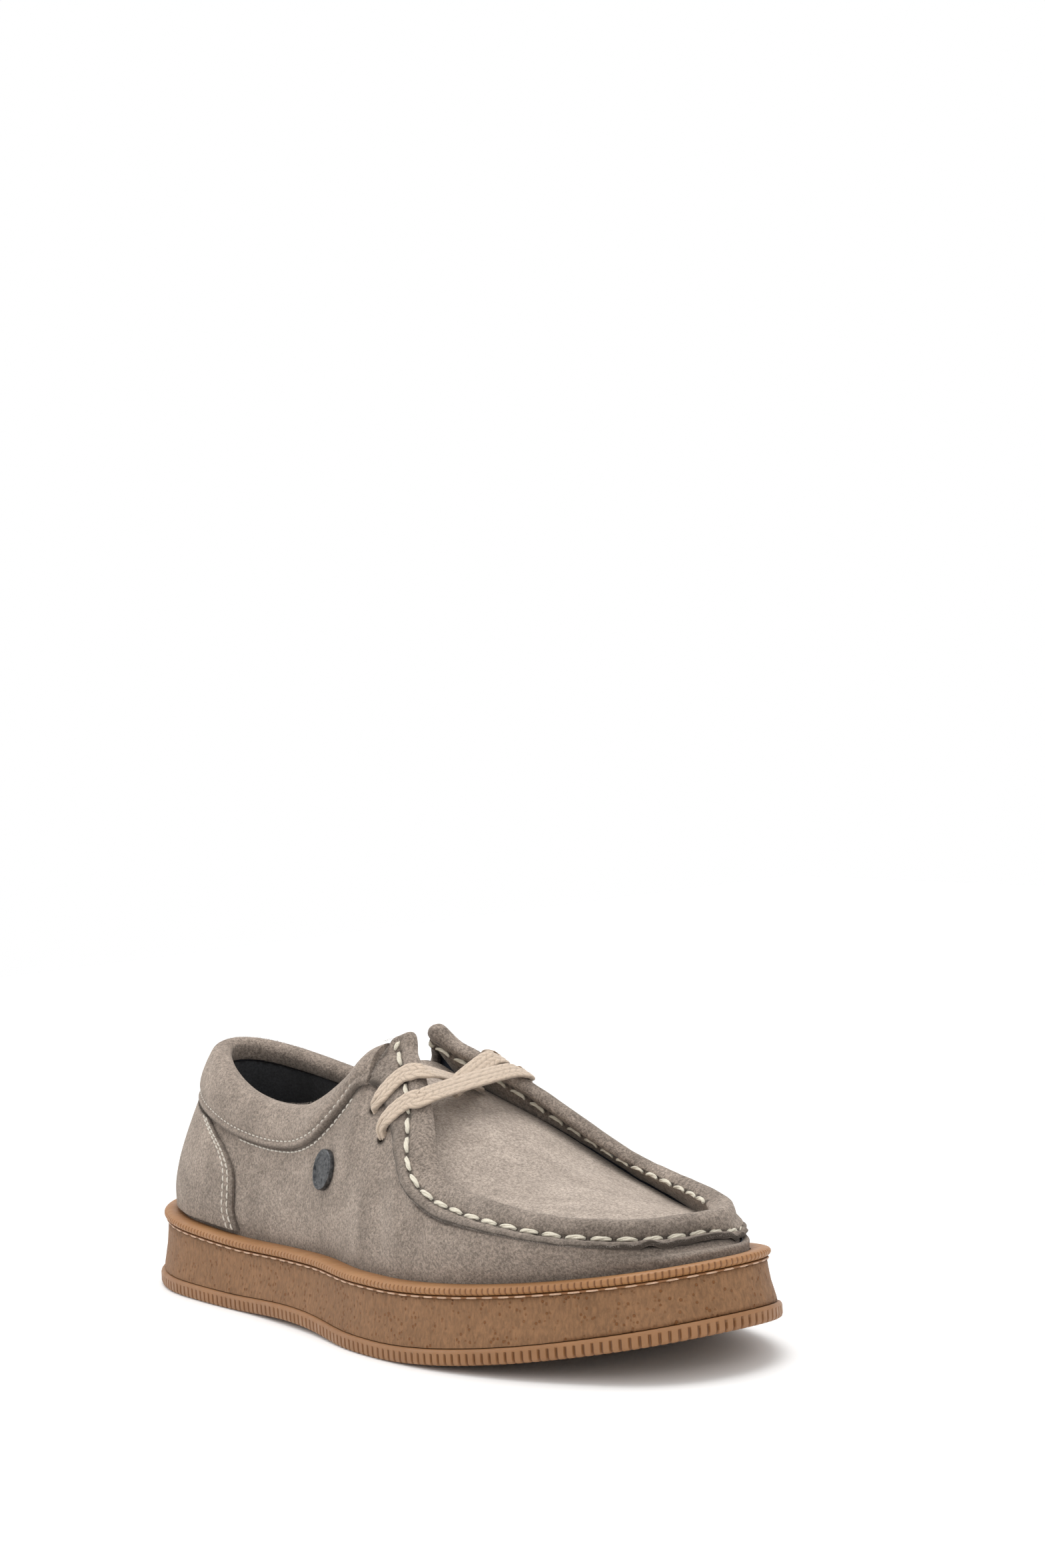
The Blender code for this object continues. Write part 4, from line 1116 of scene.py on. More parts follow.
def ridge_profile(foot, stitch, hem, top, fuller):
    """Section of the ridge at one column, from its cut edge outside to its leg inside."""
    gap = LAP_GAP
    inside = -(WALL + gap)
    flange, roll, leg = stitch - hem, top - stitch, top - foot
    return [
        # level, lift, past: the cut edge and the flange
        (hem + 0.08, 0.0001, 0.0),
        (hem - 0.02, gap + SEAM * 0.10, 0.0),
        (hem, gap + SEAM * 0.85, 0.0),
        (hem + flange * 0.25, gap + SEAM * 1.00, 0.0),
        (hem + flange * 0.70, gap + SEAM * 0.85, 0.0),
        # the pinch under the stitches and the roll over it
        (stitch, gap + SEAM * 0.50, 0.0),
        (stitch + roll * 0.30, gap + SEAM * (0.85 + 0.55 * fuller), 0.0),
        (stitch + roll * 0.65, gap + SEAM * (1.20 + 0.70 * fuller), 0.0),
        (top, gap + SEAM * (0.95 + 0.50 * fuller), gap * 0.6),
        (top, gap - SEAM * 0.10, gap + SEAM * (0.75 + 0.15 * fuller)),
        (top, -WALL * 0.45, gap + SEAM * 0.90),
        (top, -WALL * 0.95, gap + SEAM * 0.30),
        # the leg inside
        (top - leg * 0.30, -(WALL + gap * 0.9), 0.0),
        (foot + leg * 0.38, inside - SEAM * 0.45, 0.0),
        (foot, inside - SEAM, 0.0),
        (foot, inside, 0.0),
    ]


def make_ridge(stitch_rows):
    """The folded strip over the upper's top edge, gathered a little at every stitch."""
    columns = np.linspace(TAB_EDGE, AROUND - TAB_EDGE, (AROUND - 2 * TAB_COLUMN) * 16 + 1)
    half = from_heel(columns)
    angle = np.interp(half, range(len(COLUMNS)), COLUMNS)
    foot = np.interp(angle, range(90, 181), [read(APRON_FORM, a) - 0.12 for a in range(90, 181)])
    stitch = by_column(columns, STITCH)
    hem = by_column(columns, HEM)
    ends = zip(foot, stitch, hem, ridge_top(columns), ease(112, 150, angle))
    line = np.array([smooth_line(ridge_profile(*values), RIDGE_STEPS) for values in ends])
    level, lift, past = line[..., 0], line[..., 1], line[..., 2]
    row = np.arange(line.shape[1])[None, :]
    outer = row <= LAST_OUTER
    stitch, hem = stitch[:, None], hem[:, None]
    col = np.broadcast_to(columns[:, None], level.shape)
    points = surf(col, level, lift, past)
    run = run_along(points[:, 30])

    def waves(scale, seed, aside):
        """Soft noise along the ridge."""
        return noise_at(np.stack([run, aside + 0 * run, 0 * run], axis=1), scale, seed)[:, None]

    near = np.maximum(*[nearness(points, *pair) for pair in zip(stitch_rows, HOLE_REACHES)])
    toe = ease(138, 166, angle)[:, None]
    low = (1 - ease(hem, stitch, level)) * outer
    gather = 0.00022 * np.sin(run / MOC_PITCH * 2 * math.pi)[:, None] * (0.4 + toe)
    lift = lift + low * (waves(150, 2.0, 0) * (0.0004 + 0.0010 * toe) + gather)
    lift = lift - near ** 1.5 * STITCH_PULL * np.sign(lift + WALL / 2)
    level = level + low * waves(120, 0.0, 1) * 0.10
    points = surf(col, level, lift, past)
    points += noise_at(points, 160, 5.0)[..., None] * np.array([0.4, 0.4, 1.0]) * 0.00018
    tip = np.exp(-((half - TIP_COLUMN) / 0.55) ** 2)[:, None]
    points[..., 2] += TIP_RISE * tip * np.interp(row, [22, 28, 40, 47], [0, 1, 1, 0])
    over = toe_corner(columns)[:, None] * np.interp(row, [20, 25, 32, 38, 44], [0, 1, 1, 0.7, 0])
    points += over[..., None] * ROLL_OVER

    # Painted shade in the groove at the stitches, along the flange's cut edge, over the flange, on the leg
    # inside, on the far side's rear end, in the stitch holes and on the two ends; the ridge is also darker
    # towards the toe, mostly on its near side
    groove = 0.16 * np.exp(-((level - stitch) / 0.20) ** 2) * outer
    edge = 0.45 * (1 - ease(hem + 0.02, hem + 0.12, level)) * outer
    brim = 0.55 * (1 - ease(hem, stitch + 0.05, level)) * outer
    far_side = (columns > AROUND / 2)[:, None]
    front = 0.26 * ease(25, 33, half)[:, None] * (1 - 0.8 * far_side) * (row < 40)
    inner_face = (row >= 48) * 0.10 + (row >= 56) * 0.15
    rear = 0.04 * (1 - ease(96, 104, angle)[:, None]) * far_side
    dark = np.maximum(0.95 * ease(0.45, 0.85, near), np.clip(groove + edge + brim, 0, 1))
    ridge = Shape()
    ridge.add_grid(points, shade=np.clip(np.maximum(np.maximum(dark, front), inner_face) + rear, 0, 1))
    for end in (points[0], points[-1]):
        ridge.add_fan(end, end[28:44].mean(axis=0), 0.4)
    ridge.piece("moccasin_ridge", SEAM_SUEDE, "seam_binding")


def apron_edges(angle):
    """The apron's left and right edge points at one station."""
    level = read(APRON_FORM, angle)
    return [surf(column_of(angle, side), level, -(WALL + SEAM + 2 * LAP_GAP)) for side in (-1, 1)]


def make_apron_plug():
    """The toe's top and the tongue behind it, arched across and raised at the front towards the seam."""
    inner_rise, outer_rise = 0.0050, 0.0008
    uneven = 0.0006
    first = apron_edges(98)
    middle = (first[0] + first[1]) / 2
    stations = []
    for back, up, crown, keep in TONGUE_END:
        step = np.array([back, 0, up]) * TAB_HEIGHT
        stations.append([*(middle + (p - middle) * keep + step for p in first), crown * TAB_HEIGHT])
    for a in [a for a in COLUMNS if 98 <= a <= 175] + [177.5]:
        stations.append([*apron_edges(a), read(APRON_FORM, a, 2) * TAB_HEIGHT])
    line = curve([[*a, *b, crown] for a, b, crown in stations], 161)
    left, right, crown = line[:, :3], line[:, 3:6], line[:, 6]
    across = np.linspace(0, 1, 45)
    hump = 4 * across * (1 - across)
    arch = left[:, None] + (right - left)[:, None] * across[None, :, None]
    arch[..., 2] += crown[:, None] * hump
    front = ease(0.62, 0.90, np.linspace(0, 1, len(line)))[:, None]
    rise = inner_rise * ease(0.55, 0.99, across) + outer_rise * ease(0.55, 0.97, 1 - across)
    arch[..., 2] += front * rise
    arch[..., 2] += uneven * noise_at(arch, 55, 3.0) * hump
    edge = np.minimum(across, 1 - across) * np.linalg.norm(right - left, axis=1)[:, None]
    normal = np.cross(np.gradient(arch, axis=0), np.gradient(arch, axis=1))
    normal = unit(normal) * np.sign(normal[80, 22, 2])
    under = arch - normal * APRON
    plug = Shape()
    # Painted shade along the edges that tuck under the ridge, on the underside and on the cut sides
    plug.add_grid(arch, shade=0.4 * (1 - ease(0.0005, 0.004, edge)))
    plug.add_grid(under, shade=0.3, slot=1)
    plug.add_sides(arch, under, 0.25)
    plug.piece("apron_plug", [APRON_SUEDE, NAVY], "apron")


def counter_line(count):
    """The counter's front edge as (level, column) points."""
    return curve([(level, column_of(angle, -1)) for level, angle in COUNTER_EDGE], count)


def make_counter_patch():
    """The thin overlay on the heel, with its S-shaped front edge on both sides."""
    levels = np.linspace(COUNTER_EDGE[0][0], COUNTER_EDGE[-1][0], 49)
    reach = counter_line(200)
    share = np.linspace(-1, 1, 121)[:, None]
    col = share * np.interp(levels, reach[:, 0], reach[:, 1])
    lev = np.broadcast_to(levels, col.shape)
    rim = 1 - ease(0.975, 1.0, np.abs(share)) * np.ones_like(col)
    top = surf(col, lev, LAP_GAP + COUNTER * (0.35 + 0.65 * rim))
    patch = Shape()
    # Painted shadow along the patch's raised edge and on its sides
    patch.add_grid(top, shade=0.35 * ease(0.965, 1.0, np.abs(share)) * np.ones_like(col))
    patch.add_sides(top, surf(col, lev, LAP_GAP * 0.3), 0.6)
    patch.piece("counter_patch", SUEDE, "heel_counter")


# Laces

# Which way a lace faces over the open throat, and the routes
THROAT_FACING = (0.52, 0.0, 0.85)
BAR_ROUTE = [
    # side, angle, level, lift in millimetres
    (-1, 99.8, 5.08, -3.0),
    (-1, 99.8, 5.10, 0.2),
    (-1, 99.9, 5.30, 1.5),
    (-1, 100.4, 5.62, 2.2),
    (-1, 101.1, 5.96, 2.5),
    (-1, 102.0, 6.30, 2.7),
    (-1, 103.2, 6.62, 2.8),
    (-1, 104.8, 7.07, 3.1),
    (-1, 106.0, 7.50, 3.4),
]
BAR_OVER = [
    # x, y, z in millimetres
    (32.0, -25.4, 78.6), (29.6, -17.8, 79.2), (27.4, -10.4, 79.7), (25.1, -3.0, 80.0), (23.2, 6.0, 80.3),
    (21.8, 15.2, 80.2),
]
BAR_FAR = [
    # side, angle, level, lift in millimetres
    (1, 105.2, 7.60, 3.6),
    (1, 104.5, 7.20, 3.5),
    (1, 103.6, 6.80, 3.1),
    (1, 102.6, 6.40, 2.7),
    (1, 101.6, 6.02, 2.5),
    (1, 100.7, 5.66, 2.2),
    (1, 100.1, 5.35, 1.5),
    (1, 99.8, 5.10, 0.0),
    (1, 99.8, 5.08, -3.0),
]
NEAR_TAIL = [
    # side, angle, level, lift in millimetres
    (-1, 96.0, 5.30, -3.0),
    (-1, 96.1, 5.35, 0.2),
    (-1, 96.6, 5.52, 1.5),
    (-1, 97.6, 5.78, 2.2),
    (-1, 98.4, 6.18, 2.5),
    (-1, 99.3, 6.58, 2.7),
    (-1, 100.4, 6.98, 2.9),
    (-1, 101.7, 7.45, 3.4),
]
NEAR_TUCK = [
    # x, y, z in millimetres
    (24.2, -21.4, 84.9), (21.0, -15.0, 83.3), (18.0, -9.4, 81.3), (15.2, -4.4, 79.6), (11.6, 2.2, 77.6),
    (7.6, 9.0, 75.2), (4.9, 14.4, 73.6), (3.9, 17.0, 72.4),
]
FAR_TAIL = [
    # side, angle, level, lift in millimetres
    (1, 96.0, 5.30, -3.0),
    (1, 96.0, 5.35, 0.1),
    (1, 96.5, 5.60, 1.5),
    (1, 97.4, 5.95, 2.3),
    (1, 98.4, 6.30, 2.6),
    (1, 99.5, 6.65, 2.9),
    (1, 100.6, 7.00, 3.2),
    (1, 101.7, 7.32, 3.5),
    (1, 102.5, 7.62, 3.5),
]
FAR_TUCK = [
    # x, y, z in millimetres
    (13.4, 13.6, 84.0), (14.4, 8.4, 82.7), (16.8, 1.0, 80.6), (19.2, -5.0, 78.9), (23.6, -14.0, 76.1),
    (25.6, -18.0, 74.4),
]

# The lace's plaited strips, the length of one plait, and where along the run an end's fold fades out
STRIPS = 4
PLAIT = 0.0030
FOLD_FADE = (0.002, 0.010)


def lace_points(*parts):
    """Stations of a lace as rows of point and facing; a part is a route over the upper or free places."""
    rows = []
    for station in [station for part in parts for station in part]:
        if len(station) == 3:
            rows.append([*(np.array(station) / 1000 + SHIFT), *THROAT_FACING])
            continue
        side, angle, level, lift = station
        point, normal = surf(column_of(angle, side), level, lift / 1000, frame_too=True)
        rows.append([*point, *normal])
    return rows


def soften(rows, width):
    """Rows averaged with their neighbours, ends held."""
    reach = np.arange(-2 * width, 2 * width + 1)
    share = np.exp(-(reach / width) ** 2)
    share /= share.sum()
    held = np.concatenate([np.repeat(rows[:1], 2 * width, 0), rows, np.repeat(rows[-1:], 2 * width, 0)])
    return np.stack([np.convolve(held[:, k], share, "valid") for k in range(rows.shape[1])], axis=1)


def add_lace(shape, rows, folded_end):
    """A flat plaited lace along stations, folded narrow where it goes into an eyelet."""
    line = soften(curve(rows, 420), 9)
    points = line[:, :3]
    run = run_along(points)
    ahead = unit(np.gradient(points, axis=0))
    face = soften(line[:, 3:6], 16)
    face = unit(face - ahead * (face * ahead).sum(axis=1, keepdims=True))
    wide = np.cross(ahead, face)
    fold = 1 - ease(*FOLD_FADE, run)
    if folded_end:
        fold = np.maximum(fold, 1 - ease(*FOLD_FADE, run[-1] - run))
    width = LACE_WIDTH / 2 * (1.10 - 0.50 * fold)
    body = LACE_THICK / 2 * (1 + 0.55 * fold)
    turn = np.linspace(0, 2 * math.pi, 64, endpoint=False)
    side = np.sign(np.cos(turn)) * np.abs(np.cos(turn)) ** 0.80
    thick = np.sign(np.sin(turn)) * np.abs(np.sin(turn)) ** 0.60
    place = (side + 1) / 2 * STRIPS
    number = np.clip(np.floor(place), 0, STRIPS - 1)
    part = place - number
    lean = np.where(number % 2 == 0, 1.0, -1.0)
    phase = run[:, None] / PLAIT + lean * part * 0.80 + number * 0.5
    lengthwise = np.sqrt(np.clip(1 - (2 * (phase % 1) - 1) ** 2, 0, 1))
    bulge = lengthwise * np.sqrt(np.clip(1 - (2 * part - 1) ** 2, 0.1, 1))
    crease = np.exp(-(side / 0.22) ** 2) * fold[:, None]
    across = side * width[:, None]
    height = thick * (body[:, None] * (1 - 0.55 * crease) + (bulge - 0.6) * 0.00034)
    grid = points[:, None] + wide[:, None] * across[..., None] + face[:, None] * height[..., None]
    # Painted shade in the gaps between the plaits, in the fold at an end and on the two end caps
    shape.add_grid(grid, along=True, shade=np.clip(0.95 * (0.72 - bulge) + 0.5 * crease, 0, 0.85))
    for ring in (grid[0], grid[-1]):
        shape.add_fan(ring, ring.mean(axis=0), 0.3, closed=True)


def make_laces():
    """The run across the throat, and the two tails that tuck under it."""
    lace = Shape()
    add_lace(lace, lace_points(BAR_ROUTE, BAR_OVER, BAR_FAR), True)
    add_lace(lace, lace_points(NEAR_TAIL, NEAR_TUCK), False)
    add_lace(lace, lace_points(FAR_TAIL, FAR_TUCK), False)
    lace.piece("flat_laces", COTTON, "lace", merge=False)


# Stitches

def add_stitch(shape, a, b, normal, radius, rise, flat=1.0, sides=6, strands=1, turn=0.0):
    """One thread, or a few twisted ones, that comes up at a, lies over the leather and goes down at b."""
    t = np.linspace(-1, 1, 11)
    height = (1 - np.abs(t) ** 3.0) * rise - radius * 0.55
    line = (a + b) / 2 + (b - a) * t[:, None] / 2 + normal * height[:, None]
    thick = radius * (0.55 + 0.45 * (1 - np.abs(t) ** 2.5))
    # Painted shade towards both ends, where the thread goes into its holes
    ends = np.repeat(t ** 6, sides)
    if strands == 1:
        shape.add_tube(line, thick, sides, shade=0.30 * ends, flat=flat, facing=normal)
        return
    wide = unit(np.cross(b - a, normal))
    for k in range(strands):
        angle = (turn + 2 * math.pi * k / strands + 1.5 * t)[:, None]
        off = wide * np.cos(angle) + normal * np.sin(angle) * flat
        strand = line + off * 0.50 * thick[:, None]
        shape.add_tube(strand, 0.56 * thick, sides, shade=0.45 * ends, facing=normal)


def sew(shape, row, radius, rise, flat=1.0, sides=6, slant=0.0, strands=1):
    """Every stitch of a row, each turned a little in its holes."""
    for k, (a, b, normal) in enumerate(row):
        turn = unit(np.cross(normal, b - a)) * (slant + 0.18 * radius * math.sin(k * 2.4))
        size = radius * (1 + 0.05 * math.sin(k * 1.7))
        add_stitch(shape, a - turn, b + turn, normal, size, rise, flat, sides, strands, k * 1.3)


def fine_row(col, lev, lift):
    """A row of the fine machine stitches."""
    return stitches_along(path_on_skin(col, lev, lift), FINE_PITCH, FINE_LENGTH)


def make_stitches(rows):
    """The thick hand stitches along the ridge and on the tabs, and the fine ones on collar and counter."""
    moc = Shape()
    for row, radius in zip(rows, (MOC_RADIUS, 0.00074)):
        sew(moc, row, radius, MOC_RISE, 0.75, 7, 0.00012, 3)
    tab_stitches = [
        # low level, high level, lift, which way it faces
        (6.98, 7.62, LAP_GAP + SEAM, 1),
        (7.15, 7.72, -WALL - LAP_GAP * 2.1, -1),
    ]
    for side in (-1, 1):
        col = column_of(95.4, side)
        for low, high, lift, way in tab_stitches:
            a, facing = surf(col, low, lift, frame_too=True)
            add_stitch(moc, a, surf(col, high, lift), facing * way, MOC_RADIUS, MOC_RISE, 0.75, 7, 3, 0.4)
    moc.piece("moccasin_stitches", OFF_WHITE, merge=False)

    fine = Shape()
    last = TAB_COLUMN - 0.45
    col = np.linspace(-last, last, 1600)
    sew(fine, fine_row(col, COLLAR_STITCH, LAP_GAP + COLLAR_PAD * 0.47), 0.00032, 0.00026)
    reach = counter_line(300)
    for side in (-1, 1):
        col = side * np.linspace(6.6, last, 700)
        sew(fine, fine_row(col, UNDER_STITCH, 0.0001), FINE_RADIUS, 0.00024)
        for step in (0.16, 0.42):
            col = side * (reach[:, 1] - step)
            sew(fine, fine_row(col, reach[:, 0], LAP_GAP + COUNTER), FINE_RADIUS, 0.00028)
    fine.piece("fine_stitches", FINE_THREAD, merge=False)


# Fibres along the cut edges

def add_fuzz(shape, line, out, lay, count, length, draw):
    """Short hairs along a line, each one thin triangle that leans out and along."""
    run = run_along(line)
    at = draw.uniform(0, run[-1], count)
    root, aim, side = (at_run(at, run, values) for values in (line, out, lay))
    ahead = np.cross(aim, side)
    aim = unit(aim + side * draw.uniform(-0.7, 0.7, (count, 1)) + ahead * draw.uniform(-0.9, 0.9, (count, 1)))
    root = root + side * draw.uniform(-0.0004, 0.0004, (count, 1)) - aim * 0.0001
    tip = root + aim * length * draw.uniform(0.35, 1.0, (count, 1))
    thick = unit(ahead) * 0.00004
    points = np.stack([root - thick, root + thick, tip], axis=1)
    shape.add(points, [(3 * k, 3 * k + 1, 3 * k + 2) for k in range(count)])


def make_fuzz():
    """Hairs on the flange's hem, the ridge's crest, the collar's top and foot, and both tabs' rear edges."""
    draw = np.random.default_rng(7)
    hairs = Shape()
    col = np.linspace(TAB_COLUMN + 0.1, AROUND - TAB_COLUMN - 0.1, 1200)
    hem = by_column(col, HEM)
    line, normal = surf(col, hem, LAP_GAP + SEAM * 0.55, 0.0, True)
    down = unit(surf(col, hem - 0.1) - surf(col, hem))
    add_fuzz(hairs, line, down + normal * 0.3, normal, 5200, 0.0011, draw)
    top = ridge_top(col)
    crest, normal = surf(col, top, LAP_GAP + SEAM, 0.0002, True)
    inward = unit(surf(col, top, past=0.001) - surf(col, top))
    add_fuzz(hairs, crest, normal + inward * 0.4, inward, 5200, 0.0008, draw)
    col = np.linspace(-TAB_COLUMN + 0.3, TAB_COLUMN - 0.3, 900)
    top = capped(col, 8.0)
    crest, normal = surf(col, top, 0.0004, LAP_GAP + 0.0016, True)
    above = unit(surf(col, top, past=0.001) - surf(col, top))
    add_fuzz(hairs, crest, above + normal * 0.3, normal, 2600, 0.0007, draw)
    foot, normal = surf(col, 6.0, LAP_GAP + 0.0010, 0.0, True)
    add_fuzz(hairs, foot, normal - above * 0.8, normal, 2400, 0.0007, draw)
    edge = TAB_EDGE + 0.02
    lev = np.linspace(SQUEEZE_START, ridge_top(TAB_EDGE) - 0.25, 40)
    for side, c in ((-1, edge), (1, AROUND - edge)):
        behind = unit(surf(c + side * 0.2, lev) - surf(c, lev))
        for lean in np.linspace(0, 1, 5):
            line, normal = surf(c, lev, LAP_GAP + SEAM * lean, 0.0, True)
            add_fuzz(hairs, line, behind + normal * 0.4, normal, 260, 0.0011, draw)
    hairs.piece("suede_fibres", FIBRE, merge=False)


# Sole pieces

def sweep(angles, rows_at, base):
    """Points and shades round the sole; rows_at(k) lists inset, height over base and shade at angle k."""
    grid = []
    marks = []
    for k, angle in enumerate(angles):
        rows = rows_at(k)
        places = [outline(angle) - outward(angle) * depth for depth, _, _ in rows]
        grid.append([(x, y + SHIFT_Y, ground(x) + base(x) + row[1]) for (x, y), row in zip(places, rows)])
        marks.append([mark for _, _, mark in rows])
    return np.array(grid), np.array(marks)


def make_welt_bead():
    """The rolled bead over the cup: broad flat ribs with narrow slots between them."""
    ribs = 312
    per = 8
    slot_depth = 0.00042
    section = [
        # inset, share of the bead's height
        (FOOT_INSET - CLEAR, 0.00),
        (0.0060, 0.00),
        (0.0042, 0.00),
        (0.0029, 0.20),
        (0.0025, 0.48),
        (0.0029, 0.78),
        (0.0042, 0.98),
        (0.0060, 1.02),
        (FOOT_INSET - CLEAR, 0.94),
    ]
    line = curve(section, 25)
    slots = np.clip(1.15 - np.abs(np.arange(ribs * per) % per - 3.5), 0, 0.65) / 0.65

    def rows_at(k):
        rows = []
        for depth, part in line:
            # Painted shade in the slots between the ribs and behind the bead's top edge
            cut = slots[k] * float(ease(0.02, 0.12, part) * (1 - ease(0.70, 0.84, part))) * (depth < 0.0045)
            behind = 0.35 * float(part > 0.9) * (depth > 0.0060)
            rows.append((depth + slot_depth * cut, CLEAR / 2 + WELT * part, 0.80 * cut + behind))
        return rows

    grid, marks = sweep(even_angles(ribs * per), rows_at, wall_top)
    bead = Shape()
    bead.add_grid(grid, around=True, along=True, shade=marks)
    bead.piece("welt_bead", WELT_GUM, "welt", smooth=60)


def make_welt_stitches():
    """The long stitches in the corner under the bead, over a thin gum cord painted dark for the shade of a
    groove.
    """
    pitch, length, radius = 0.0062, 0.0052, 0.00030
    line = []
    facing = []
    angles = even_angles(1400)
    for a in np.append(angles, angles[0] + 360):
        x, y = inset(a, 0.0036)
        out = outward(a)
        line.append((x, y + SHIFT_Y, ground(x) + wall_top(x) - radius))
        facing.append((out[0] * 0.9, out[1] * 0.9, -0.25))
    line = np.array(line)
    cord = Shape()
    t = np.linspace(0, 1, 9)
    from_middle = np.abs(2 * t - 1)
    lift = radius * (1 - from_middle ** 4) - 0.00006
    for a, b, normal in stitches_along((line, np.array(facing), run_along(line)), pitch, length):
        spots = a + (b - a) * t[:, None] + normal * lift[:, None]
        cord.add_tube(spots, radius * (1 - 0.35 * from_middle ** 3))
    cord.piece("welt_stitches", ORANGE_THREAD, merge=False)
    # A thin cord under the stitches, painted dark to stand for the shade in the groove
    groove = Shape()
    groove.add_tube(line, 0.00036, 8, shade=0.55)
    groove.piece("welt_groove_shade", WELT_GUM, merge=False)


def add_band(tread):
    """The ribbed side of the outsole and the flat rim under it."""
    per = 8
    slot = np.clip(1.5 - np.abs(np.arange(RIB_COUNT * per) % per - 3.5), 0, 1)
    section = [
        # inset, height, share of the slot's depth and of its painted shade
        (0.0030, BAND - 0.0002, 0.0),
        (0.0011, BAND + 0.0001, 0.0),
        (0.0005, BAND - 0.0001, 0.0),
        (0.0002, BAND * 0.90, 0.0),
        (0.0000, BAND * 0.78, 0.1),
        (0.0000, BAND * 0.70, 0.9),
        (0.0000, BAND * 0.55, 1.0),
        (0.0000, BAND * 0.25, 1.0),
        (0.0003, 0.0004, 1.0),
        (0.0012, 0.0000, 0.7),
        (0.0022, 0.0000, 0.2),
        (0.0035, 0.0000, 0.0),
        (RIM - 0.0004, 0.0000, 0.0),
        (RIM, 0.0003, 0.0),
        (RIM + 0.0001, FIELD_DEPTH, 0.0),
        (RIM + 0.0010, FIELD_DEPTH, 0.0),
    ]

    def rows_at(k):
        rows = []
        for depth, height, share in section:
            # Painted shade in the slots between the ribs
            cut = slot[k] * share
            if height < 0.0003:
                rows.append((depth, height + 0.0005 * cut, 0.62 * cut))
            else:
                rows.append((depth + RIB_DEPTH * cut, height, 0.62 * cut))
        return rows

    grid, marks = sweep(even_angles(RIB_COUNT * per), rows_at, lambda x: 0.0)
    tread.add_grid(grid, around=True, shade=marks)


def add_field(tread):
    """The sunk field, with straight bars across it that stop short of the rim."""
    tree = tree_of([(*outline(a), 0) for a in np.linspace(0, 360, 1440, endpoint=False)])
    angles = np.linspace(1, 179, 357)
    near = np.array([inset(a, RIM) for a in angles])
    far = np.array([inset(360 - a, RIM) for a in angles])
    xs = np.linspace(near[:, 0].min() + 0.0003, near[:, 0].max() - 0.0003, 330)
    grid = []
    marks = []
    for x, low, high in zip(xs, np.interp(xs, *near.T), np.interp(xs, *far.T)):
        number = (LENGTH / 2 - FIRST_BAR * BAR_PITCH - x) / BAR_PITCH
        beside = abs((number + 0.5) % 1.0 - 0.5) * BAR_PITCH - BAR_WIDTH / 2
        real = -0.45 < number < BAR_COUNT - 0.55
        row = []
        mark = []
        for y in np.linspace(low, high, 61):
            inward = max(beside, BAR_INSET - tree.find(Vector((x, y, 0)))[2]) if real else 1.0
            sunk = float(ease(-0.0005, 0.0004, inward))
            row.append((x, y + SHIFT_Y, ground(x) + FIELD_DEPTH * sunk + 0.0001))
            # Painted shade in the grooves round the bars
            mark.append(0.9 * math.exp(-((inward - 0.0004) / 0.0006) ** 2))
        grid.append(row)
        marks.append(mark)
    tread.add_grid(np.array(grid), shade=np.array(marks), slot=1)


def make_tread():
    """The ribbed band and rim, and the sunk field with its bars, in place of the plain outsole."""
    tread = Shape()
    add_band(tread)
    add_field(tread)
    top = []
    for a in even_angles(160):
        x, y = inset(a, 0.0028)
        top.append((x, y + SHIFT_Y, ground(x) + BAND - 0.0002))
    # The flat top inside the cup, with painted shade
    tread.add(top, [tuple(range(len(top)))], 0.3)
    tread.piece("tread", [BAND_GUM, FIELD_GUM], "outsole", smooth=45)


def make_badge_plate():
    """A bare oval plate with a raised rim and a hammered middle."""
    side, angle, level = BADGE_PLACE
    col = column_of(angle, side)
    spot, normal = surf(col, level, BADGE_LIFT, 0.0, True)
    rise = surf(col, level + 0.5) - surf(col, level - 0.5)
    rise = unit(rise - (rise @ normal) * normal)
    rings = [
        # share of the half size, share of the thickness, shade
        (1.00, -0.50, 0.0),
        (1.00, 0.55, 0.0),
        (0.985, 0.82, 0.0),
        (0.955, 0.95, 0.0),
        (0.90, 1.00, 0.0),
        (0.86, 0.94, 0.2),
        (0.83, 0.66, 0.8),
        (0.78, 0.58, 0.5),
        (0.60, 0.62, 0.2),
        (0.40, 0.65, 0.2),
        (0.20, 0.66, 0.2),
        (0.02, 0.66, 0.2),
    ]
    ring = ring_of(np.cross(rise, normal) * BADGE_HALF[0], rise * BADGE_HALF[1], 96)
    grid = np.stack([spot + ring * r + normal * (BADGE_THICK * h) for r, h, _ in rings], axis=1)
    hammered = noise_at(grid, 1300, 4.0) * 0.00012
    hammered[:, :7] *= 0.15
    plate = Shape()
    marks = np.broadcast_to([mark for _, _, mark in rings], grid.shape[:2])
    plate.add_grid(grid + normal * hammered[..., None], around=True, shade=marks)
    plate.piece("badge_plate", GUNMETAL, "badge", smooth=60)


def make_sole_and_badge():
    """The cup's side and the footbed in their solids' own shapes, the tread, and the badge plate."""
    rebuilt("midsole", "cup_wall", WALL_GUM, 40)
    make_tread()
    rebuilt("insole", "footbed", NAVY, 40)
    make_badge_plate()


# Camera, lights and floor

# The view fitted to the photograph: degrees, metres, and the focal length and the shoe's middle in its pixels
VIEW = dict(azimuth=53.4672, elevation=3.1851, roll=-3.5535, focal=5437.91, distance=1.200)
VIEW_ORIGIN = (678.05, 1967.72)
PHOTO = (1568, 2352)


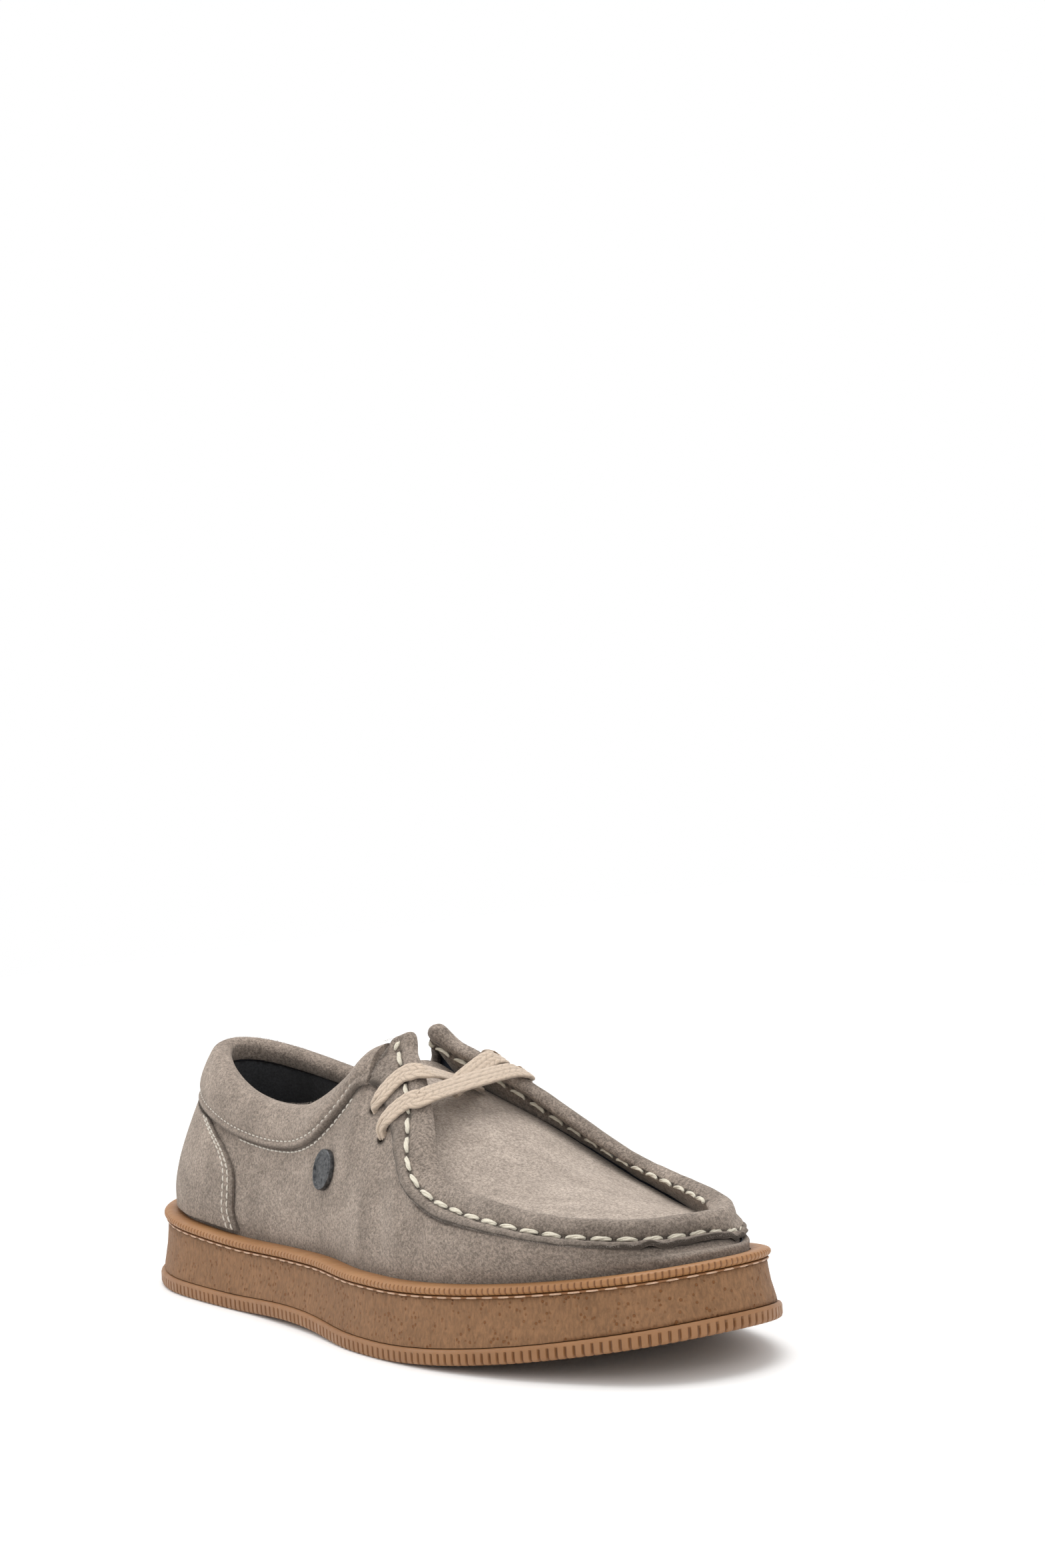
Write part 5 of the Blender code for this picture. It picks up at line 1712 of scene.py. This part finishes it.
def make_camera():
    """A camera that puts the shoe's middle where the photograph has it."""
    az, el, roll = (math.radians(VIEW[k]) for k in ("azimuth", "elevation", "roll"))
    back = np.array([math.sin(az) * math.cos(el), -math.cos(az) * math.cos(el), math.sin(el)])
    right = unit(np.cross([0, 0, 1.0], back))
    up = np.cross(back, right)
    right, up = math.cos(roll) * right + math.sin(roll) * up, math.cos(roll) * up - math.sin(roll) * right
    aside = (VIEW_ORIGIN[0] - PHOTO[0] / 2) / VIEW["focal"] * VIEW["distance"]
    below = (VIEW_ORIGIN[1] - PHOTO[1] / 2) / VIEW["focal"] * VIEW["distance"]
    place = back * VIEW["distance"] - right * aside + up * below + SHIFT
    data = bpy.data.cameras.new("camera")
    data.sensor_width = 36.0
    data.lens = VIEW["focal"] / PHOTO[1] * data.sensor_width
    data.clip_start = 0.05
    data.clip_end = 30.0
    cam = placed("camera", data)
    cam.matrix_world = Matrix((right, up, back)).transposed().to_4x4()
    cam.location = place
    bpy.context.scene.camera = cam


LIGHTS = [
    # name, place, aim, size, watts
    ("top", (-0.25, 0.15, 2.0), (0.0, 0.0, 0.04), 1.8, 29.0),
    ("left", (-1.5, -1.2, 1.2), (0.0, 0.0, 0.04), 1.2, 7.0),
    ("right", (1.7, -0.7, 1.0), (0.0, 0.0, 0.04), 1.2, 5.5),
]
ROOM_LIGHT = 0.88


def make_floor():
    mesh = bpy.data.meshes.new("floor")
    half = 1.15
    corners = [(-half, -half, 0), (half, -half, 0), (half, half, 0), (-half, half, 0)]
    mesh.from_pydata(corners, [], [(0, 1, 2, 3)])
    look = Look("pale_floor", 0.55, specular=0.2)
    look.set("Base Color", look.mix(look.noise(3, 2), (0.90, 0.90, 0.895), (0.93, 0.93, 0.925)))
    mesh.materials.append(look.mat)
    floor = placed("floor", mesh)


def make_lights():
    for name, place, aim, size, watts in LIGHTS:
        data = bpy.data.lights.new(name, "AREA")
        data.shape = "DISK"
        data.size = size
        data.energy = watts
        lamp = placed(name, data)
        lamp.location = place
        lamp.rotation_euler = (Vector(aim) - Vector(place)).to_track_quat("-Z", "Y").to_euler()


def make_world():
    """A white room: full white to the camera, a little less as light on the shoe."""
    world = bpy.data.worlds.new("studio")
    world.use_nodes = True
    tree = world.node_tree
    backdrop = tree.nodes["Background"]
    backdrop.inputs["Color"].default_value = (1.0, 1.0, 1.0, 1)
    ray = tree.nodes.new("ShaderNodeLightPath")
    level = tree.nodes.new("ShaderNodeMapRange")
    level.inputs["To Min"].default_value = ROOM_LIGHT
    level.inputs["To Max"].default_value = 1.0
    tree.links.new(ray.outputs["Is Camera Ray"], level.inputs["Value"])
    tree.links.new(level.outputs[0], backdrop.inputs["Strength"])
    bpy.context.scene.world = world
    bpy.context.scene.view_settings.view_transform = "Standard"


make_camera()
make_floor()
make_lights()
make_world()
make_sole_and_badge()
make_welt_bead()
make_welt_stitches()
make_upper_suede()
make_lining()
make_heel_lining()
make_collar_pad()
MOC_ROWS = moc_rows()
make_ridge(MOC_ROWS)
make_apron_plug()
make_counter_patch()
make_laces()
make_stitches(MOC_ROWS)
make_fuzz()
